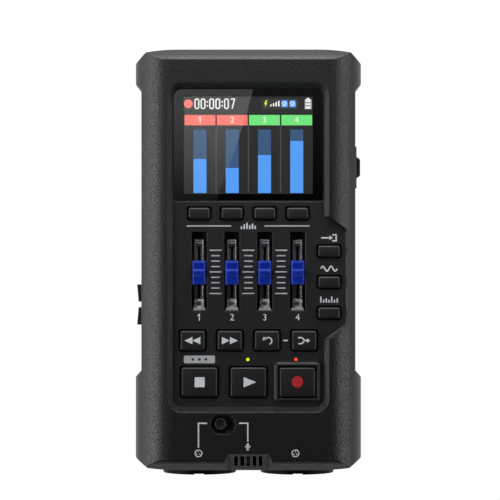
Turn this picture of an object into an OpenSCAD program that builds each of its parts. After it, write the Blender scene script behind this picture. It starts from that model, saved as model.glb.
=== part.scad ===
// Pocket digital multitrack recorder lying on its back, in millimetres.
// Origin: middle of the underside. X to the right, Y to the display end, Z out of the face.

/* [Body] */
// Width over the corner bumpers
body_w = 83; // [82.5:0.5:88]
// Length of the case without the jack rings
body_l = 154; // [152:0.5:165]
// Thickness of the case without the feet
body_t = 47; // [46:0.5:52]
// Wall thickness of both case halves
wall = 2.2; // [1.8:0.1:2.6]
// How far each side is drawn in at the waist
waist_in = 2.3; // [1.2:0.1:2.6]
// Length of the upper bumpers from the end
top_bumper = 12.4; // [8:0.1:18]
// Length of the lower bumpers from the end
low_bumper = 33.9; // [24:0.1:40]
// Length of the slope from a bumper to the waist
bumper_slope = 2.6; // [1:0.1:6]
// Corner cut in plan at the display end
top_cut = 4; // [1.5:0.1:4.6]
// Corner cut in plan at the jack end, across
low_cut_w = 4.7; // [2:0.1:6]
// Corner cut in plan at the jack end, along
low_cut_l = 3.6; // [1.5:0.1:4.6]
// How far the display end falls back towards its corners
top_bow = 1.1; // [0.2:0.1:1.4]
// How far the jack end falls back towards its corners
low_bow = 0.8; // [0.2:0.1:1.1]
// Half width of the straight middle of each end
bow_start = 26; // [15:1:32]
// Radius of the long front edges
edge_r = 10.5; // [7:0.5:11]
// Radius of the long back edges
back_r = 5.5; // [3:0.5:8]
// Length of the front bevel at the display end
top_bevel = 3.8; // [2:0.1:4.8]
// Length of the front bevel at the jack end
low_bevel = 4.1; // [2:0.1:4.8]
// Height of the front bevels
bevel_drop = 3.4; // [2:0.1:4.2]
// Bevel along the back edges of the ends
back_bevel = 2.6; // [1.5:0.1:4]
// Shadow gap between the case halves
part_gap = 0.2; // [0.1:0.05:0.4]
// Height of the feet below the back
foot_h = 1; // [0.6:0.1:2]
// Radius of a foot
foot_r = 4.6; // [3:0.1:5.6]

/* [Control panel] */
// Width of the pocket at the panel
pocket_w = 55.4; // [54:0.2:57]
// Upper end of the pocket above the body's middle
pocket_top = 62.8; // [62:0.2:66]
// Lower end of the pocket below the body's middle
pocket_low = 53.8; // [52.8:0.1:54.4]
// Corner radius of the pocket
pocket_r = 3.3; // [1.5:0.1:6]
// Width of the bevelled rim at the sides
rim_side = 1.7; // [0.8:0.1:2.4]
// Width of the bevelled rim at the ends
rim_end = 2; // [0.8:0.1:2.4]
// Reach of the bulge beside the faders
bulge_x = 35.6; // [35:0.1:36.4]
// Upper corner of the bulge from the body's middle
bulge_top = 10; // [7:0.2:11]
// Lower corner of the bulge from the body's middle
bulge_low = -23.4; // [-26.6:0.2:-22.6]
// Rise over run of the bulge's sloped sides
bulge_slope = 0.7; // [0.6:0.05:1.1]
// Thickness of the panel plate
panel_t = 1.8; // [1.2:0.1:2.4]
// How far the panel reaches under the case
panel_lap = 1.4; // [0.8:0.1:1.7]
// Width of the guard's rim round the record key
guard_w = 1.3; // [0.6:0.1:1.8]
// Height of the guard above the panel
guard_h = 1.1; // [0.5:0.1:2]
// Space between the panel and the front board
stack_h = 5; // [4.6:0.1:6]

/* [Display] */
// Lower edge of the window above the body's middle
window_low = 21.4; // [21:0.1:23]
// Thickness of the window
window_t = 1.4; // [1:0.1:1.6]
// How far the window lies below the panel
window_drop = 0.5; // [0.2:0.1:0.9]
// Width of the lit area
view_w = 47.2; // [44:0.2:49]
// Length of the lit area
view_l = 35.7; // [33:0.1:37]
// Middle of the lit area above the body's middle
view_y = 42; // [41.4:0.1:42.6]

/* [Keys] */
// Gap round each key in the panel
key_gap = 0.6; // [0.3:0.05:0.65]
// How far a key goes down
key_travel = 0.6; // [0.3:0.05:0.9]
// How far a key stands above the panel
key_rise = 1.2; // [0.9:0.1:2]
// Bevel round the top of a key
key_bevel = 0.45; // [0.2:0.05:0.7]
// Corner radius of a key
key_corner = 0.8; // [0.3:0.1:1.5]
// Distance between tracks, soft keys and faders alike
track_pitch = 12; // [11:0.1:12.6]
// Width of a soft key
soft_w = 7.8; // [6:0.1:9]
// Length of a soft key
soft_l = 4.1; // [3:0.1:4.6]
// Middle of the soft keys above the body's middle
soft_y = 17; // [15.6:0.1:17.3]
// Width of a side key
side_w = 8; // [6.5:0.1:8.8]
// Length of a side key
side_l = 4.1; // [3.2:0.1:5.6]
// Middle of the side keys to the right
side_x = 29.5; // [28.6:0.1:30]
// Middle side key from the body's middle
side_y = -8.15; // [-8.8:0.05:-7]
// Distance between side keys
side_pitch = 11.3; // [9:0.1:12]
// Width of a middle key
mid_w = 9.05; // [8:0.05:10.4]
// Length of a middle key
mid_l = 7.1; // [6:0.1:7.8]
// Middle keys from the body's middle
mid_key_y = -29.5; // [-29.9:0.1:-28]
// Distance between middle keys
mid_pitch = 13.6; // [12.6:0.1:14]
// Width of a transport key
main_w = 13.1; // [11.4:0.1:14]
// Length of a transport key
main_l = 10.8; // [9:0.1:11.4]
// Transport keys from the body's middle
main_y = -44.7; // [-45.4:0.1:-44.3]
// Distance between transport keys
main_pitch = 17.9; // [17:0.1:18.4]

/* [Faders] */
// Middle of the fader slots from the body's middle
fader_y = -4.35; // [-5.4:0.05:-3.6]
// Width of a fader slot
slot_w = 5.7; // [5.4:0.1:6.2]
// Length of a fader slot
slot_l = 29.1; // [28:0.1:30.6]
// Whole travel of a fader
fader_travel = 15; // [10:0.5:16]
// Width of a fader cap
cap_w = 5; // [4:0.1:5.4]
// Length of a fader cap
cap_l = 9; // [7:0.1:11]
// Height of a fader cap
cap_h = 4.4; // [3.6:0.1:6]
// Width of the ridge across a fader cap
ridge_w = 1.6; // [0.6:0.1:2.4]

/* [Switches] */
// Middle of the source switch across
dish_x = -9.2; // [-11:0.1:-6]
// Middle of the source switch from the body's middle
dish_y = -60; // [-62:0.1:-59.8]
// Width of the dish at the face
dish_w = 9.4; // [8:0.1:11]
// Length of the dish at the face
dish_l = 7.6; // [6:0.1:7.6]
// Radius of the source switch knob
dial_r = 2.2; // [1.6:0.1:2.4]
// Travel of the source switch
source_travel = 2; // [1:0.1:2.4]
// Middle of the power switch above the body's middle
power_y = 34.2; // [33.6:0.1:50]
// Length of the power switch plate
plate_l = 15.7; // [14:0.1:18]
// Height of the power switch plate
plate_h = 7.2; // [6:0.1:7.6]
// Length of the power switch knob
knob_l = 7.9; // [6:0.1:8.6]
// How far the power knob stands out from the waist
knob_out = 2.3; // [1.2:0.1:2.3]
// Travel of the power switch each way
power_travel = 2.5; // [1.5:0.1:2.8]
// Middle of the volume keys from the body's middle
volume_y = -16.65; // [-25:0.05:0]
// Length of a volume key
volume_l = 6.4; // [5:0.1:8]
// Height of a volume key
volume_h = 4.6; // [3.6:0.1:5.2]
// Gap between the volume keys
volume_split = 2.1; // [2:0.1:4]
// How far a volume key goes in
volume_travel = 0.5; // [0.3:0.05:0.6]

/* [Jacks] */
// Distance between the input jacks
jack_pitch = 36.4; // [34:0.1:36.8]
// Height of the jack axis above the back
jack_up = 23; // [21:0.1:24]
// Radius of the jack ring
ring_r = 13.6; // [12.8:0.1:14]
// How far the jack ring stands out
jack_out = 2.3; // [1:0.1:4]
// Radius of the jack body inside the case
jack_r = 11.8; // [11:0.1:12]
// Length of a jack
jack_l = 32; // [30.5:0.1:34]
// Radius of the hole for the plug's shell
shell_r = 9.6; // [9.4:0.05:10]
// Radius of the jack's core
core_r = 7.8; // [7.4:0.05:8.2]
// Radius of the plug bore in the core
plug_r = 3.25; // [3.2:0.01:3.4]
// Width of the notch in the ring
notch_w = 3.6; // [2:0.1:5]
// Radius of the headphone bore
phones_r = 1.8; // [1.77:0.01:1.9]
// Headphone jack above the body's middle
phones_y = 38; // [31:0.5:55]
// Charging port from the body's middle
port_y = 6; // [0:0.5:13]
// Card slot from the body's middle
card_y = -16; // [-28:0.5:-11]
// Width of the microphone grille
mic_w = 14.4; // [12.4:0.2:15.4]
// Length of the microphone grille from the end
mic_run = 6; // [5.8:0.1:7.4]

/* [Power] */
// Radius of a battery cell
cell_r = 7.2; // [7:0.05:7.3]
// Length of a battery cell
cell_l = 50.5; // [48:0.1:51.5]
// Distance between cells
cell_pitch = 14.8; // [14.7:0.05:15.4]
// Clearance round the battery door
door_gap = 0.25; // [0.15:0.05:0.35]
// Radius of the speaker
speaker_r = 14; // [11:0.5:15]
// Speaker above the body's middle
speaker_y = 45; // [41:0.5:49]

/* [Hidden] */
$fn = 64;

// Heights of the main planes
board_t = 1.6;
z_back = foot_h;
z_face = foot_h + body_t;
z_part = z_back + jack_up;
z_panel = z_face - wall;
z_under = z_panel - panel_t;
z_board = z_under - stack_h;
z_main = z_part + 0.2;
z_side = z_main + 3.9;

// Ends and sides of the case
mid_y = jack_out / 2;
y_top = mid_y + body_l / 2;
y_low = mid_y - body_l / 2;
x_bump = body_w / 2;
x_waist = x_bump - waist_in;
x_in = x_waist - wall;
past = 1;
far = 400;

// Clearances used throughout
slide_gap = 0.2;
seat_gap = 0.1;
snug = 0.05;
key_play = 0.1;

// Screws and bosses that join the halves
boss_r = 3;
boss_in = 0.5;
boss_x = x_in - boss_r - boss_in;
boss_y = [body_l / 2 - 10.5, 23, 13.5 - body_l / 2];
boss_deep = 10;
screw_r = 1.1;
head_r = 2.2;
head_h = 1.6;
sink_h = 5;
foot_at = [x_bump - 14, body_l / 2 - 20.5];
foot_sink = 0.6;

// Keys and posts under the panel
flange_t = 0.8;
flange_lip = 0.6;
z_flange = z_under - 0.15;
switch_w = 4.5;
switch_h = 2.6;
z_switch = z_board + switch_h;
row_y = (mid_key_y - mid_l / 2 + main_y + main_l / 2) / 2;
post_r = 1.6;
posts = [[-25.2, 10.5], [24.2, 10.5], [-25.5, row_y], [main_pitch / 2, row_y], [25.5, row_y]];
pilot_r = 0.8;
lamp_r = 0.55;
lamp_y = row_y - 0.25;
lamps = [[-0.2, lamp_y], [main_pitch - 0.5, lamp_y]];

// Corners and rim of the bulge, where the face rolls off towards the side
bulge_r = 2.2;
bulge_root = 8.5;
bulge_rim = 1.2;
bulge_lift = 0.55;

// Finger room beside the side keys
finger_r = 2.8;
finger_reach = 0.7;

// Places and sizes of the keys, by row
soft_at = [for (i = [0:3]) [(i - 1.5) * track_pitch, soft_y]];
side_at = [for (i = [0:2]) [side_x, side_y + (1 - i) * side_pitch]];
mid_at = [for (i = [0:3]) [(i - 1.5) * mid_pitch, mid_key_y]];
main_at = [for (i = [0:2]) [(i - 1) * main_pitch, main_y]];
soft_size = [soft_w, soft_l];
side_size = [side_w, side_l];
mid_size = [mid_w, mid_l];
main_size = [main_w, main_l];

// Display stack
ledge_t = 1.4;
z_window = z_panel - window_drop - window_t;
z_ledge = z_window - ledge_t;
window_w = pocket_w + 1.8;
window_top = pocket_top + 0.9;
window_r = 2.6;
frame_low = window_low - 0.8;
view_gap = 0.5;
bezel = 2.4;

// Fader parts, which sit a little below the middle of the slots
track_y = fader_y - 0.35;
cap_corner = 0.8;
pot_w = 6.4;
pot_l = 31;
pot_h = 3.8;
cover_w = 3.4;
cover_l = 24;
cover_t = 0.4;
fold_t = 0.45;
fold_h = 1.9;
bridge_h = 1.6;
bridges = [[cover_l / 2 - 0.2, 0.4], [cover_l / 2 - 1.25, 0.85], [2.05 - cover_l / 2, 1.05]];
lever_w = 0.6;
lever_l = 3.2;
runner_w = 2.2;
runner_l = 5.2;
floor_t = 1.2;
z_cover = z_board + pot_h;
z_cap = z_panel + 0.4;
grip_h = 2.4;
lip_run = 2.3;

// Source switch
dish_deep = 2.6;
pad_t = 1.5;
z_dish = z_face - dish_deep;
dial_x = dish_x - source_travel / 2;
stem_w = 1.3;
throw_h = 3.4;

// Side controls
plate_sink = 1.1;
plate_out = 0.95;
knob_h = 4.4;
stem_l = 3;
stem_h = 1.6;
stem_in = 3;
throw_w = 6;
throw_l = 13.2;
volume_gap = 0.25;
volume_out = 1.85;
volume_tilt = 0.27;
side_tip = 2.2;
lid_l = 18;
lid_h = 6;
lid_t = 1.4;
lid_z = z_main + 4.4;
lid_pin_r = 0.45;
lid_pin_l = 0.8;
slot_z = z_main + 2.4;
port_w = 8.9;
port_h = 3.2;
port_z = z_main + 3.2;

// Jacks
flange_r = ring_r + 1.1;
ring_gap = 0.15;
ring_edge = 0.3;
notch_deep = 0.35;
flange_l = 1.6;
shell_deep = 13;
core_in = 1.2;
plug_l = jack_l - core_in - 0.8;
contact_r = 1.15;
contact_at = 5.7;
contact_l = 9;
contact_turn = [35, 145, 270];
jack_end = y_low - jack_out + jack_l;

// Microphone grille
mic_flare = 1.4;
mic_t = 2.3;
mic_slot = 1.4;
mic_frame = 1.6;
mic_pitch = 2.25;
capsule_r = 2.9;
capsule_l = 2.4;

// Battery bay
bay_wall = 1.5;
bay_w = 4 * cell_pitch + 0.4;
leaf_l = 2.4;
leaf_w = 9;
bay_low = jack_end + board_t + 0.5 + bay_wall;
bay_top = bay_low + cell_l + 2 * leaf_l;
z_cell = z_back + wall + 0.3 + cell_r;
z_roof = z_cell + cell_r + 0.3;
hinge_r = 0.6;
hinge_l = 1.2;
hinge_y = bay_top - door_gap - wall / 2;
hinge_z = z_back + wall / 2;

// Main board
main_x = x_in - 0.5;
main_top = y_top - wall - 1;
main_posts = [[27, 20], [24, body_l / 2 - 11.5]];
main_post_r = 2.6;
notch_gap = 0.5;
rest_x = 20;
rest_in = 4;
link_y = 30;

// Colours
charcoal = [0.22, 0.22, 0.23];
black = [0.08, 0.08, 0.09];
grey = [0.16, 0.16, 0.17];
blue = [0.08, 0.16, 0.5];
steel = [0.7, 0.71, 0.72];
brass = [0.8, 0.65, 0.3];
board = [0.08, 0.3, 0.16];
smoke = [0.1, 0.11, 0.13];
green = [0.4, 0.85, 0.2];
red = [0.8, 0.15, 0.12];

// Helper shapes

module at_mid(p) translate([p[0], mid_y + p[1], 0]) children();

module at_z(z) translate([0, 0, z]) children();

// Extrudes a profile drawn in Y and Z along X
module along_x(w) rotate([90, 0, 90]) linear_extrude(w, center = true) children();

// Extrudes a profile drawn in X and Z along Y
module along_y(l) rotate([90, 0, 0]) linear_extrude(l, center = true) children();

module both_sides() for (s = [-1, 1]) scale_x(s) children();

module scale_x(s) mirror([s < 0 ? 1 : 0, 0, 0]) children();

module rounded(size, r) {
    square([size[0] - 2 * r, size[1]], center = true);
    square([size[0], size[1] - 2 * r], center = true);
    for (x = [-1, 1], y = [-1, 1])
        translate([x * (size[0] / 2 - r), y * (size[1] / 2 - r)]) circle(r);
}

// Block with rounded corners and a bevel round its top
module bevel_block(size, h, r, b) intersection() {
    linear_extrude(h) rounded(size, r);
    along_y(size[1] + past) bevel_profile(size[0], h, b);
    along_x(size[0] + past) bevel_profile(size[1], h, b);
}

module bevel_profile(w, h, b) polygon([[-w / 2, 0], [w / 2, 0], [w / 2, h - b],
    [w / 2 - b, h], [b - w / 2, h], [-w / 2, h - b]]);

function grown(size, by) = [size[0] + 2 * by, size[1] + 2 * by];

// Outer form of the case

function end_curve(y, bow, x_cut) = [for (i = [0:4])
    [bow_start + (x_cut - bow_start) * i / 4, y - bow * pow(i / 4, 2)]];

function half_plan() = concat(
    end_curve(y_top, top_bow, x_bump - top_cut),
    [[x_bump, y_top - top_bow - top_cut],
     [x_bump, y_top - top_bumper],
     [x_waist, y_top - top_bumper - bumper_slope],
     [x_waist, y_low + low_bumper + bumper_slope],
     [x_bump, y_low + low_bumper],
     [x_bump, y_low + low_bow + low_cut_l]],
    backwards(end_curve(y_low, -low_bow, x_bump - low_cut_w)));

function backwards(list) = [for (i = [len(list) - 1 : -1 : 0]) list[i]];

function mirrored(list) = [for (p = backwards(list)) [-p[0], p[1]]];

module plan() polygon(concat(half_plan(), mirrored(half_plan())));

module section(inset) {
    w = x_bump - inset;
    rf = edge_r - inset;
    rb = back_r - inset;
    z0 = z_back + inset;
    z1 = z_face - inset;
    translate([-w, z0 + rb]) square([2 * w, z1 - rf - z0 - rb]);
    translate([rf - w, z0 + rb]) square([2 * (w - rf), z1 - z0 - rb]);
    translate([rb - w, z0]) square([2 * (w - rb), z1 - rf - z0]);
    both_sides() {
        translate([w - rf, z1 - rf]) circle(rf);
        translate([w - rb, z0 + rb]) circle(rb);
    }
}

// Bevel that eases into the face, as steps back from the end and down from the face
function eased(l, d) = [for (p = [[0, 1], [0.63, 0.25], [0.82, 0.09], [1, 0]]) [p[0] * l, p[1] * d]];

module end_profile(inset) {
    ease = inset * (2 - sqrt(2));
    y0 = y_low + inset;
    y1 = y_top - inset;
    z0 = z_back + inset;
    z1 = z_face - inset;
    polygon(concat([[y0, z0 + back_bevel - ease], [y0 + back_bevel - ease, z0],
        [y1 - back_bevel + ease, z0], [y1, z0 + back_bevel - ease]],
        [for (p = eased(top_bevel - ease, bevel_drop - ease)) [y1 - p[0], z1 - p[1]]],
        [for (p = backwards(eased(low_bevel - ease, bevel_drop - ease))) [y0 + p[0], z1 - p[1]]]));
}

module shell(z0, z1) difference() {
    intersection() {
        at_z(z0) linear_extrude(z1 - z0) plan();
        along_y(far) section(0);
        along_x(far) end_profile(0);
    }
    intersection() {
        along_y(far) section(wall);
        along_x(2 * x_in) end_profile(wall);
    }
}

// Openings shared by the case halves and what sits in them

module pocket_corners(grow_x, grow_y, z) {
    r = pocket_r + min(grow_x, grow_y);
    w = pocket_w / 2 + grow_x - r;
    for (x = [-w, w], y = [pocket_top + grow_y - r, r - pocket_low - grow_y])
        at_mid([x, y]) at_z(z) cylinder(r = r, h = 0.01, $fn = 32);
}

module bulge_corners(r, back, z) {
    turn = bulge_r * (sqrt(1 + bulge_slope * bulge_slope) - bulge_slope) - back * bulge_slope;
    for (y = [bulge_top - turn, bulge_low + turn])
        at_mid([bulge_x - bulge_r - back, y]) at_z(z) cylinder(r = r, h = 0.01, $fn = 32);
}

// Rounded cuts in the rim that give a fingertip room beside the side keys
module finger_cuts() for (p = side_at)
    at_mid([bulge_x + finger_reach - finger_r, p[1]]) at_z(z_panel) cylinder(r = finger_r, h = far);

// Pocket round the controls, with its sloped rim
module pocket() {
    hull() {
        pocket_corners(0, 0, z_panel);
        pocket_corners(rim_side, rim_end, z_face);
    }
    hull() for (back = [0, bulge_root]) {
        bulge_corners(bulge_r, back, z_panel);
        bulge_corners(bulge_r + bulge_rim, back, back == 0 ? z_panel + bulge_lift : z_face);
        bulge_corners(bulge_r + bulge_rim, back, z_face);
    }
}

module bulge(grow) polygon([[15, mid_y + bulge_low - 8], [bulge_x - 10, mid_y + bulge_low - 10 * bulge_slope],
    [bulge_x + grow, mid_y + bulge_low - grow], [bulge_x + grow, mid_y + bulge_top + grow],
    [bulge_x - 10, mid_y + bulge_top + 10 * bulge_slope], [15, mid_y + bulge_top + 8]]);

module panel_outline() {
    panel_l = pocket_top + pocket_low + 2 * panel_lap;
    translate([0, mid_y + (pocket_top - pocket_low) / 2])
        rounded([pocket_w + 2 * panel_lap, panel_l], pocket_r);
    bulge(0.1);
}

module jack_axis(s) translate([s * jack_pitch / 2, y_low - jack_out, z_part]) rotate([-90, 0, 0]) children();

module jack_holes() for (s = [-1, 1])
    jack_axis(s) at_z(-past) cylinder(r = ring_r + ring_gap, h = jack_out + wall + 2 * past);

// Sloped bay in the lower bevel that the grille lies in, with flared sides above it
module mic_seat() {
    end = y_low + mic_run + seat_gap;
    along_x(mic_w + 2 * seat_gap) polygon([[end, z_face + past], [y_low - past, z_face + past],
        [y_low - past, mic_line(y_low - past) - mic_t], [end, mic_line(end) - mic_t]]);
    translate([0, y_low, z_face - bevel_drop]) rotate([atan2(bevel_drop, mic_run), 0, 0]) along_y(3 * mic_run)
        polygon([[-mic_w / 2, 0], [mic_w / 2, 0], [mic_w / 2 + mic_flare * wall, wall],
            [-mic_w / 2 - mic_flare * wall, wall]]);
}

function mic_line(y) = z_face - bevel_drop * (1 - (y - y_low) / mic_run);

module dish_corners(size, r, z) for (s = [-1, 1])
    at_mid([dish_x + s * (size / 2 - r), dish_y]) at_z(z) cylinder(r = r, h = 0.01, $fn = 40);

module dish() {
    hull() {
        dish_corners(2 * dial_r + source_travel + 0.8, dial_r + 0.4, z_dish);
        dish_corners(dish_w, dish_l / 2, z_face);
    }
    at_mid([dish_x, dish_y]) at_z(z_dish - pad_t - past)
        linear_extrude(pad_t + 2 * past) square([stem_w + source_travel + 0.4, stem_w + 0.4], center = true);
}

module boss_places() for (y = boss_y) both_sides() at_mid([boss_x, y]) children();

// Openings in the upright sides, above the joint of the halves

function volume_at(i) = volume_y + (i == 0 ? 1 : -1) * (volume_l + volume_split) / 2;

module volume_holes() for (i = [0, 1])
    at_mid([-x_waist, volume_at(i)]) at_z(z_side)
        cube([4 * wall, volume_l + 2 * volume_gap, volume_h + 2 * volume_gap], center = true);

module power_hole() at_mid([0, power_y]) {
    translate([x_waist - plate_sink, -plate_l / 2 - seat_gap, z_side - plate_h / 2 - seat_gap])
        cube([plate_sink + 3, plate_l + 2 * seat_gap, plate_h + 2 * seat_gap]);
    translate([x_waist, 0, z_side]) cube([4 * wall, power_slot(), stem_h + 2 * slide_gap], center = true);
}

function power_slot() = stem_l + 2 * power_travel + 2 * slide_gap;

module port_shape(grow) along_x(far) translate([0, port_z])
    rounded([port_w + 2 * grow, port_h + 2 * grow], port_h / 2 + grow - 0.1);

module port_hole() at_mid([far / 2 + x_in - past, port_y]) port_shape(0.25);

module phones_hole() at_mid([-x_waist, phones_y]) at_z(z_side)
    rotate([0, 90, 0]) cylinder(r = 3 + seat_gap, h = 4 * wall, center = true);

module lid_hole() at_mid([0, card_y]) {
    translate([x_waist - lid_t - seat_gap, -lid_l / 2 - slide_gap, lid_z - lid_h / 2 - slide_gap])
        cube([lid_t + 3, lid_l + 2 * slide_gap, lid_h + 2 * slide_gap]);
    translate([x_waist - 3 * wall, -6.4, slot_z - 0.8]) cube([3 * wall, 12.8, 1.6]);
    translate([x_waist - lid_t / 2, lid_l / 2 - lid_t / 2, lid_z])
        cylinder(r = lid_pin_r + snug, h = lid_h + 2 * lid_pin_l + 4 * slide_gap, center = true);
    translate([x_waist, -lid_l / 2 - slide_gap, lid_z]) rotate([0, 0, 45]) cube([2, 2, 3], center = true);
}

// Case

module front_case() color(charcoal) difference() {
    union() {
        shell(z_part, z_face + past);
        boss_places() at_z(z_part) cylinder(r = boss_r, h = z_panel + 0.3 - z_part);
        at_mid([dish_x, dish_y]) at_z(z_dish - pad_t)
            linear_extrude(pad_t + dish_deep - wall + 0.3)
                square([dish_w + 1.2, dish_l + 0.8], center = true);
    }
    pocket();
    finger_cuts();
    at_z(z_under - past) linear_extrude(panel_t + past) bulge(0.1 + ring_gap);
    jack_holes();
    mic_seat();
    dish();
    volume_holes();
    power_hole();
    port_hole();
    phones_hole();
    lid_hole();
    boss_places() at_z(z_part - past) cylinder(r = screw_r + snug, h = boss_deep + past);
}

module rear_case() color(charcoal) difference() {
    union() {
        shell(z_back - past, z_part - part_gap);
        boss_places() at_z(z_back) cylinder(r = boss_r, h = z_part - z_back);
        bay_block(bay_wall, z_back + 0.5, z_roof + bay_wall);
        for (p = main_posts) both_sides() at_mid(p) at_z(z_back + 0.5)
            cylinder(r = main_post_r, h = z_main - board_t - z_back - 0.5);
        both_sides() translate([rest_x, bay_low + rest_in, z_roof + bay_wall - 0.5])
            cylinder(r = 3, h = z_main - board_t - z_roof - bay_wall + 0.5);
        both_sides() jack_saddle();
        at_mid([0, speaker_y]) at_z(z_back + 0.5) cylinder(r = speaker_r + 1.4, h = wall + 2.5);
    }
    bay_block(0, z_back - past, z_roof);
    translate([0, hinge_y, hinge_z]) rotate([0, 90, 0])
        cylinder(r = hinge_r + snug, h = bay_w + 2 * hinge_l, center = true);
    boss_places() {
        at_z(z_back - past) cylinder(r = head_r + 0.3, h = sink_h + past);
        at_z(z_back) cylinder(r = screw_r + slide_gap, h = z_part);
    }
    for (p = main_posts) both_sides() at_mid(p) at_z(z_main - 8) cylinder(r = pilot_r + snug, h = 8);
    jack_holes();
    for (x = [-1, 1], y = [-1, 1]) at_mid([x * foot_at[0], y * foot_at[1]])
        at_z(z_back - past) cylinder(r = foot_r + seat_gap, h = foot_sink + past);
    at_mid([0, speaker_y]) at_z(z_back + wall) cylinder(r = speaker_r + seat_gap, h = wall + 3);
    for (i = [-3:3]) at_mid([0, speaker_y]) translate([i * speaker_r / 4.5, 0, z_back])
        cube([1.5, 1.7 * sqrt(pow(speaker_r - 1, 2) - pow(i * speaker_r / 4.5, 2)), 3 * wall], center = true);
}

module bay_block(grow, z0, z1) translate([-bay_w / 2 - grow, bay_low - grow, z0])
    cube([bay_w + 2 * grow, bay_top - bay_low + 2 * grow, z1 - z0]);

// Upright rib cut to carry the jack's body
module jack_saddle() difference() {
    translate([jack_pitch / 2 - jack_r, y_low + 16, z_back + 0.5]) cube([2 * jack_r, 2.4, jack_up - 9]);
    translate([jack_pitch / 2, y_low + 15, z_part]) rotate([-90, 0, 0])
        cylinder(r = jack_r + seat_gap, h = 5);
}

// Control panel and display

module key_windows(places, size) for (p = places)
    translate([p[0], mid_y + p[1]]) rounded(grown(size, key_gap), key_corner);

module control_panel() color(black) difference() {
    union() {
        at_z(z_under) linear_extrude(panel_t) difference() {
            panel_outline();
            key_windows(soft_at, soft_size);
            key_windows(side_at, side_size);
            key_windows(mid_at, mid_size);
            key_windows(main_at, main_size);
            for (p = soft_at) translate([p[0], mid_y + fader_y]) rounded([slot_w, slot_l], 0.4);
            for (p = lamps) translate([p[0], mid_y + p[1]]) circle(lamp_r + snug);
        }
        at_z(z_ledge) linear_extrude(z_panel - z_ledge) frame_outline();
        guard();
        for (p = posts) at_mid(p) at_z(z_board) cylinder(r = post_r, h = stack_h + 0.5);
    }
    at_z(z_window) linear_extrude(far) window_outline(seat_gap);
    at_mid([0, view_y]) cube([view_w + 2 * view_gap, view_l + 2 * view_gap, far], center = true);
    for (p = posts) at_mid(p) at_z(z_board - past) cylinder(r = pilot_r + snug, h = 4 + past);
}

module frame_outline() intersection() {
    panel_outline();
    translate([-pocket_w, mid_y + frame_low]) square([2 * pocket_w, pocket_top]);
}

module window_outline(grow) translate([0, mid_y + (window_low + window_top) / 2])
    rounded([window_w + 2 * grow, window_top - window_low + 2 * grow], window_r + grow);

// Raised rim that keeps fingers off the record key
module guard() at_mid(main_at[2]) at_z(z_panel - 0.5) difference() {
    bevel_block(grown(main_size, key_gap + guard_w), guard_h + 0.5, key_corner + guard_w, guard_w / 2);
    at_z(-past) linear_extrude(guard_h + 3) rounded(grown(main_size, key_gap), key_corner);
}

module display_window() color(smoke) at_z(z_window) linear_extrude(window_t) window_outline(0);

module display_module() color(grey) at_mid([0, view_y]) {
    at_z(z_board) linear_extrude(z_ledge - seat_gap - z_board)
        square([view_w + 2 * bezel, view_l + 2 * bezel - 1], center = true);
    at_z(z_ledge - 0.5) linear_extrude(ledge_t + 0.2) square([view_w, view_l], center = true);
}

// Keys: a bevelled cap, a flange under the panel and a stem over its switch

module press_key(p, size) color(grey) at_mid(p) {
    at_z(z_flange - 0.4) bevel_block(size, z_panel + key_rise - z_flange + 0.4, key_corner, key_bevel);
    at_z(z_flange - flange_t) linear_extrude(flange_t)
        square(grown(size, key_gap + flange_lip), center = true);
    at_z(z_switch + key_travel + key_play)
        cylinder(r = 1.4, h = z_flange - flange_t / 2 - z_switch - key_travel - key_play);
}

module soft_key_1() press_key(soft_at[0], soft_size);
module soft_key_2() press_key(soft_at[1], soft_size);
module soft_key_3() press_key(soft_at[2], soft_size);
module soft_key_4() press_key(soft_at[3], soft_size);
module side_key_1() press_key(side_at[0], side_size);
module side_key_2() press_key(side_at[1], side_size);
module side_key_3() press_key(side_at[2], side_size);
module rewind_key() press_key(mid_at[0], mid_size);
module forward_key() press_key(mid_at[1], mid_size);
module undo_key() press_key(mid_at[2], mid_size);
module bounce_key() press_key(mid_at[3], mid_size);
module stop_key() press_key(main_at[0], main_size);
module play_key() press_key(main_at[1], main_size);
module record_key() press_key(main_at[2], main_size);

module key_switches() color(steel) for (p = concat(soft_at, side_at, mid_at, main_at)) at_mid(p) {
    at_z(z_board) linear_extrude(switch_h - 0.6) square(switch_w, center = true);
    at_z(z_switch - 1) cylinder(r = 1.1, h = 1);
}

// Light pipe from the board to the panel
module lamp(p) at_mid(p) {
    at_z(z_board) cylinder(r = lamp_r, h = z_panel + 0.15 - z_board);
    at_z(z_board) cylinder(r = 1.2, h = z_under - 0.3 - z_board);
}

module play_lamp() color(green) lamp(lamps[0]);
module record_lamp() color(red) lamp(lamps[1]);

// Faders

module fader_cap(i) color(blue) difference() {
    at_mid([soft_at[i][0], track_y]) at_z(z_cap) intersection() {
        along_x(far) cap_side();
        along_y(far) cap_front();
        linear_extrude(cap_h) rounded([cap_w, cap_l], cap_corner);
    }
    at_mid([soft_at[i][0], track_y]) at_z(z_cap - past)
        linear_extrude(grip_h + seat_gap + past)
            square([lever_w + 2 * snug, lever_l + 2 * snug], center = true);
}

// Dished top with a ridge across its middle
module cap_side() {
    a = cap_l / 2;
    h = cap_h;
    r = ridge_w / 2;
    polygon([[-a, 0], [a, 0], [a - 0.2, h - 0.7], [a - 0.6, h - 0.2], [a - 1, h - 0.2],
        [r + 0.4, h - 0.6], [r, h], [-r, h], [-r - 0.4, h - 0.6],
        [1 - a, h - 0.2], [0.6 - a, h - 0.2], [0.2 - a, h - 0.7]]);
}

module cap_front() {
    a = cap_w / 2;
    h = cap_h;
    polygon([[-a, 0], [a, 0], [a - 0.2, h - 0.8], [a - 0.6, h], [0.6 - a, h], [0.2 - a, h - 0.8]]);
}

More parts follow.
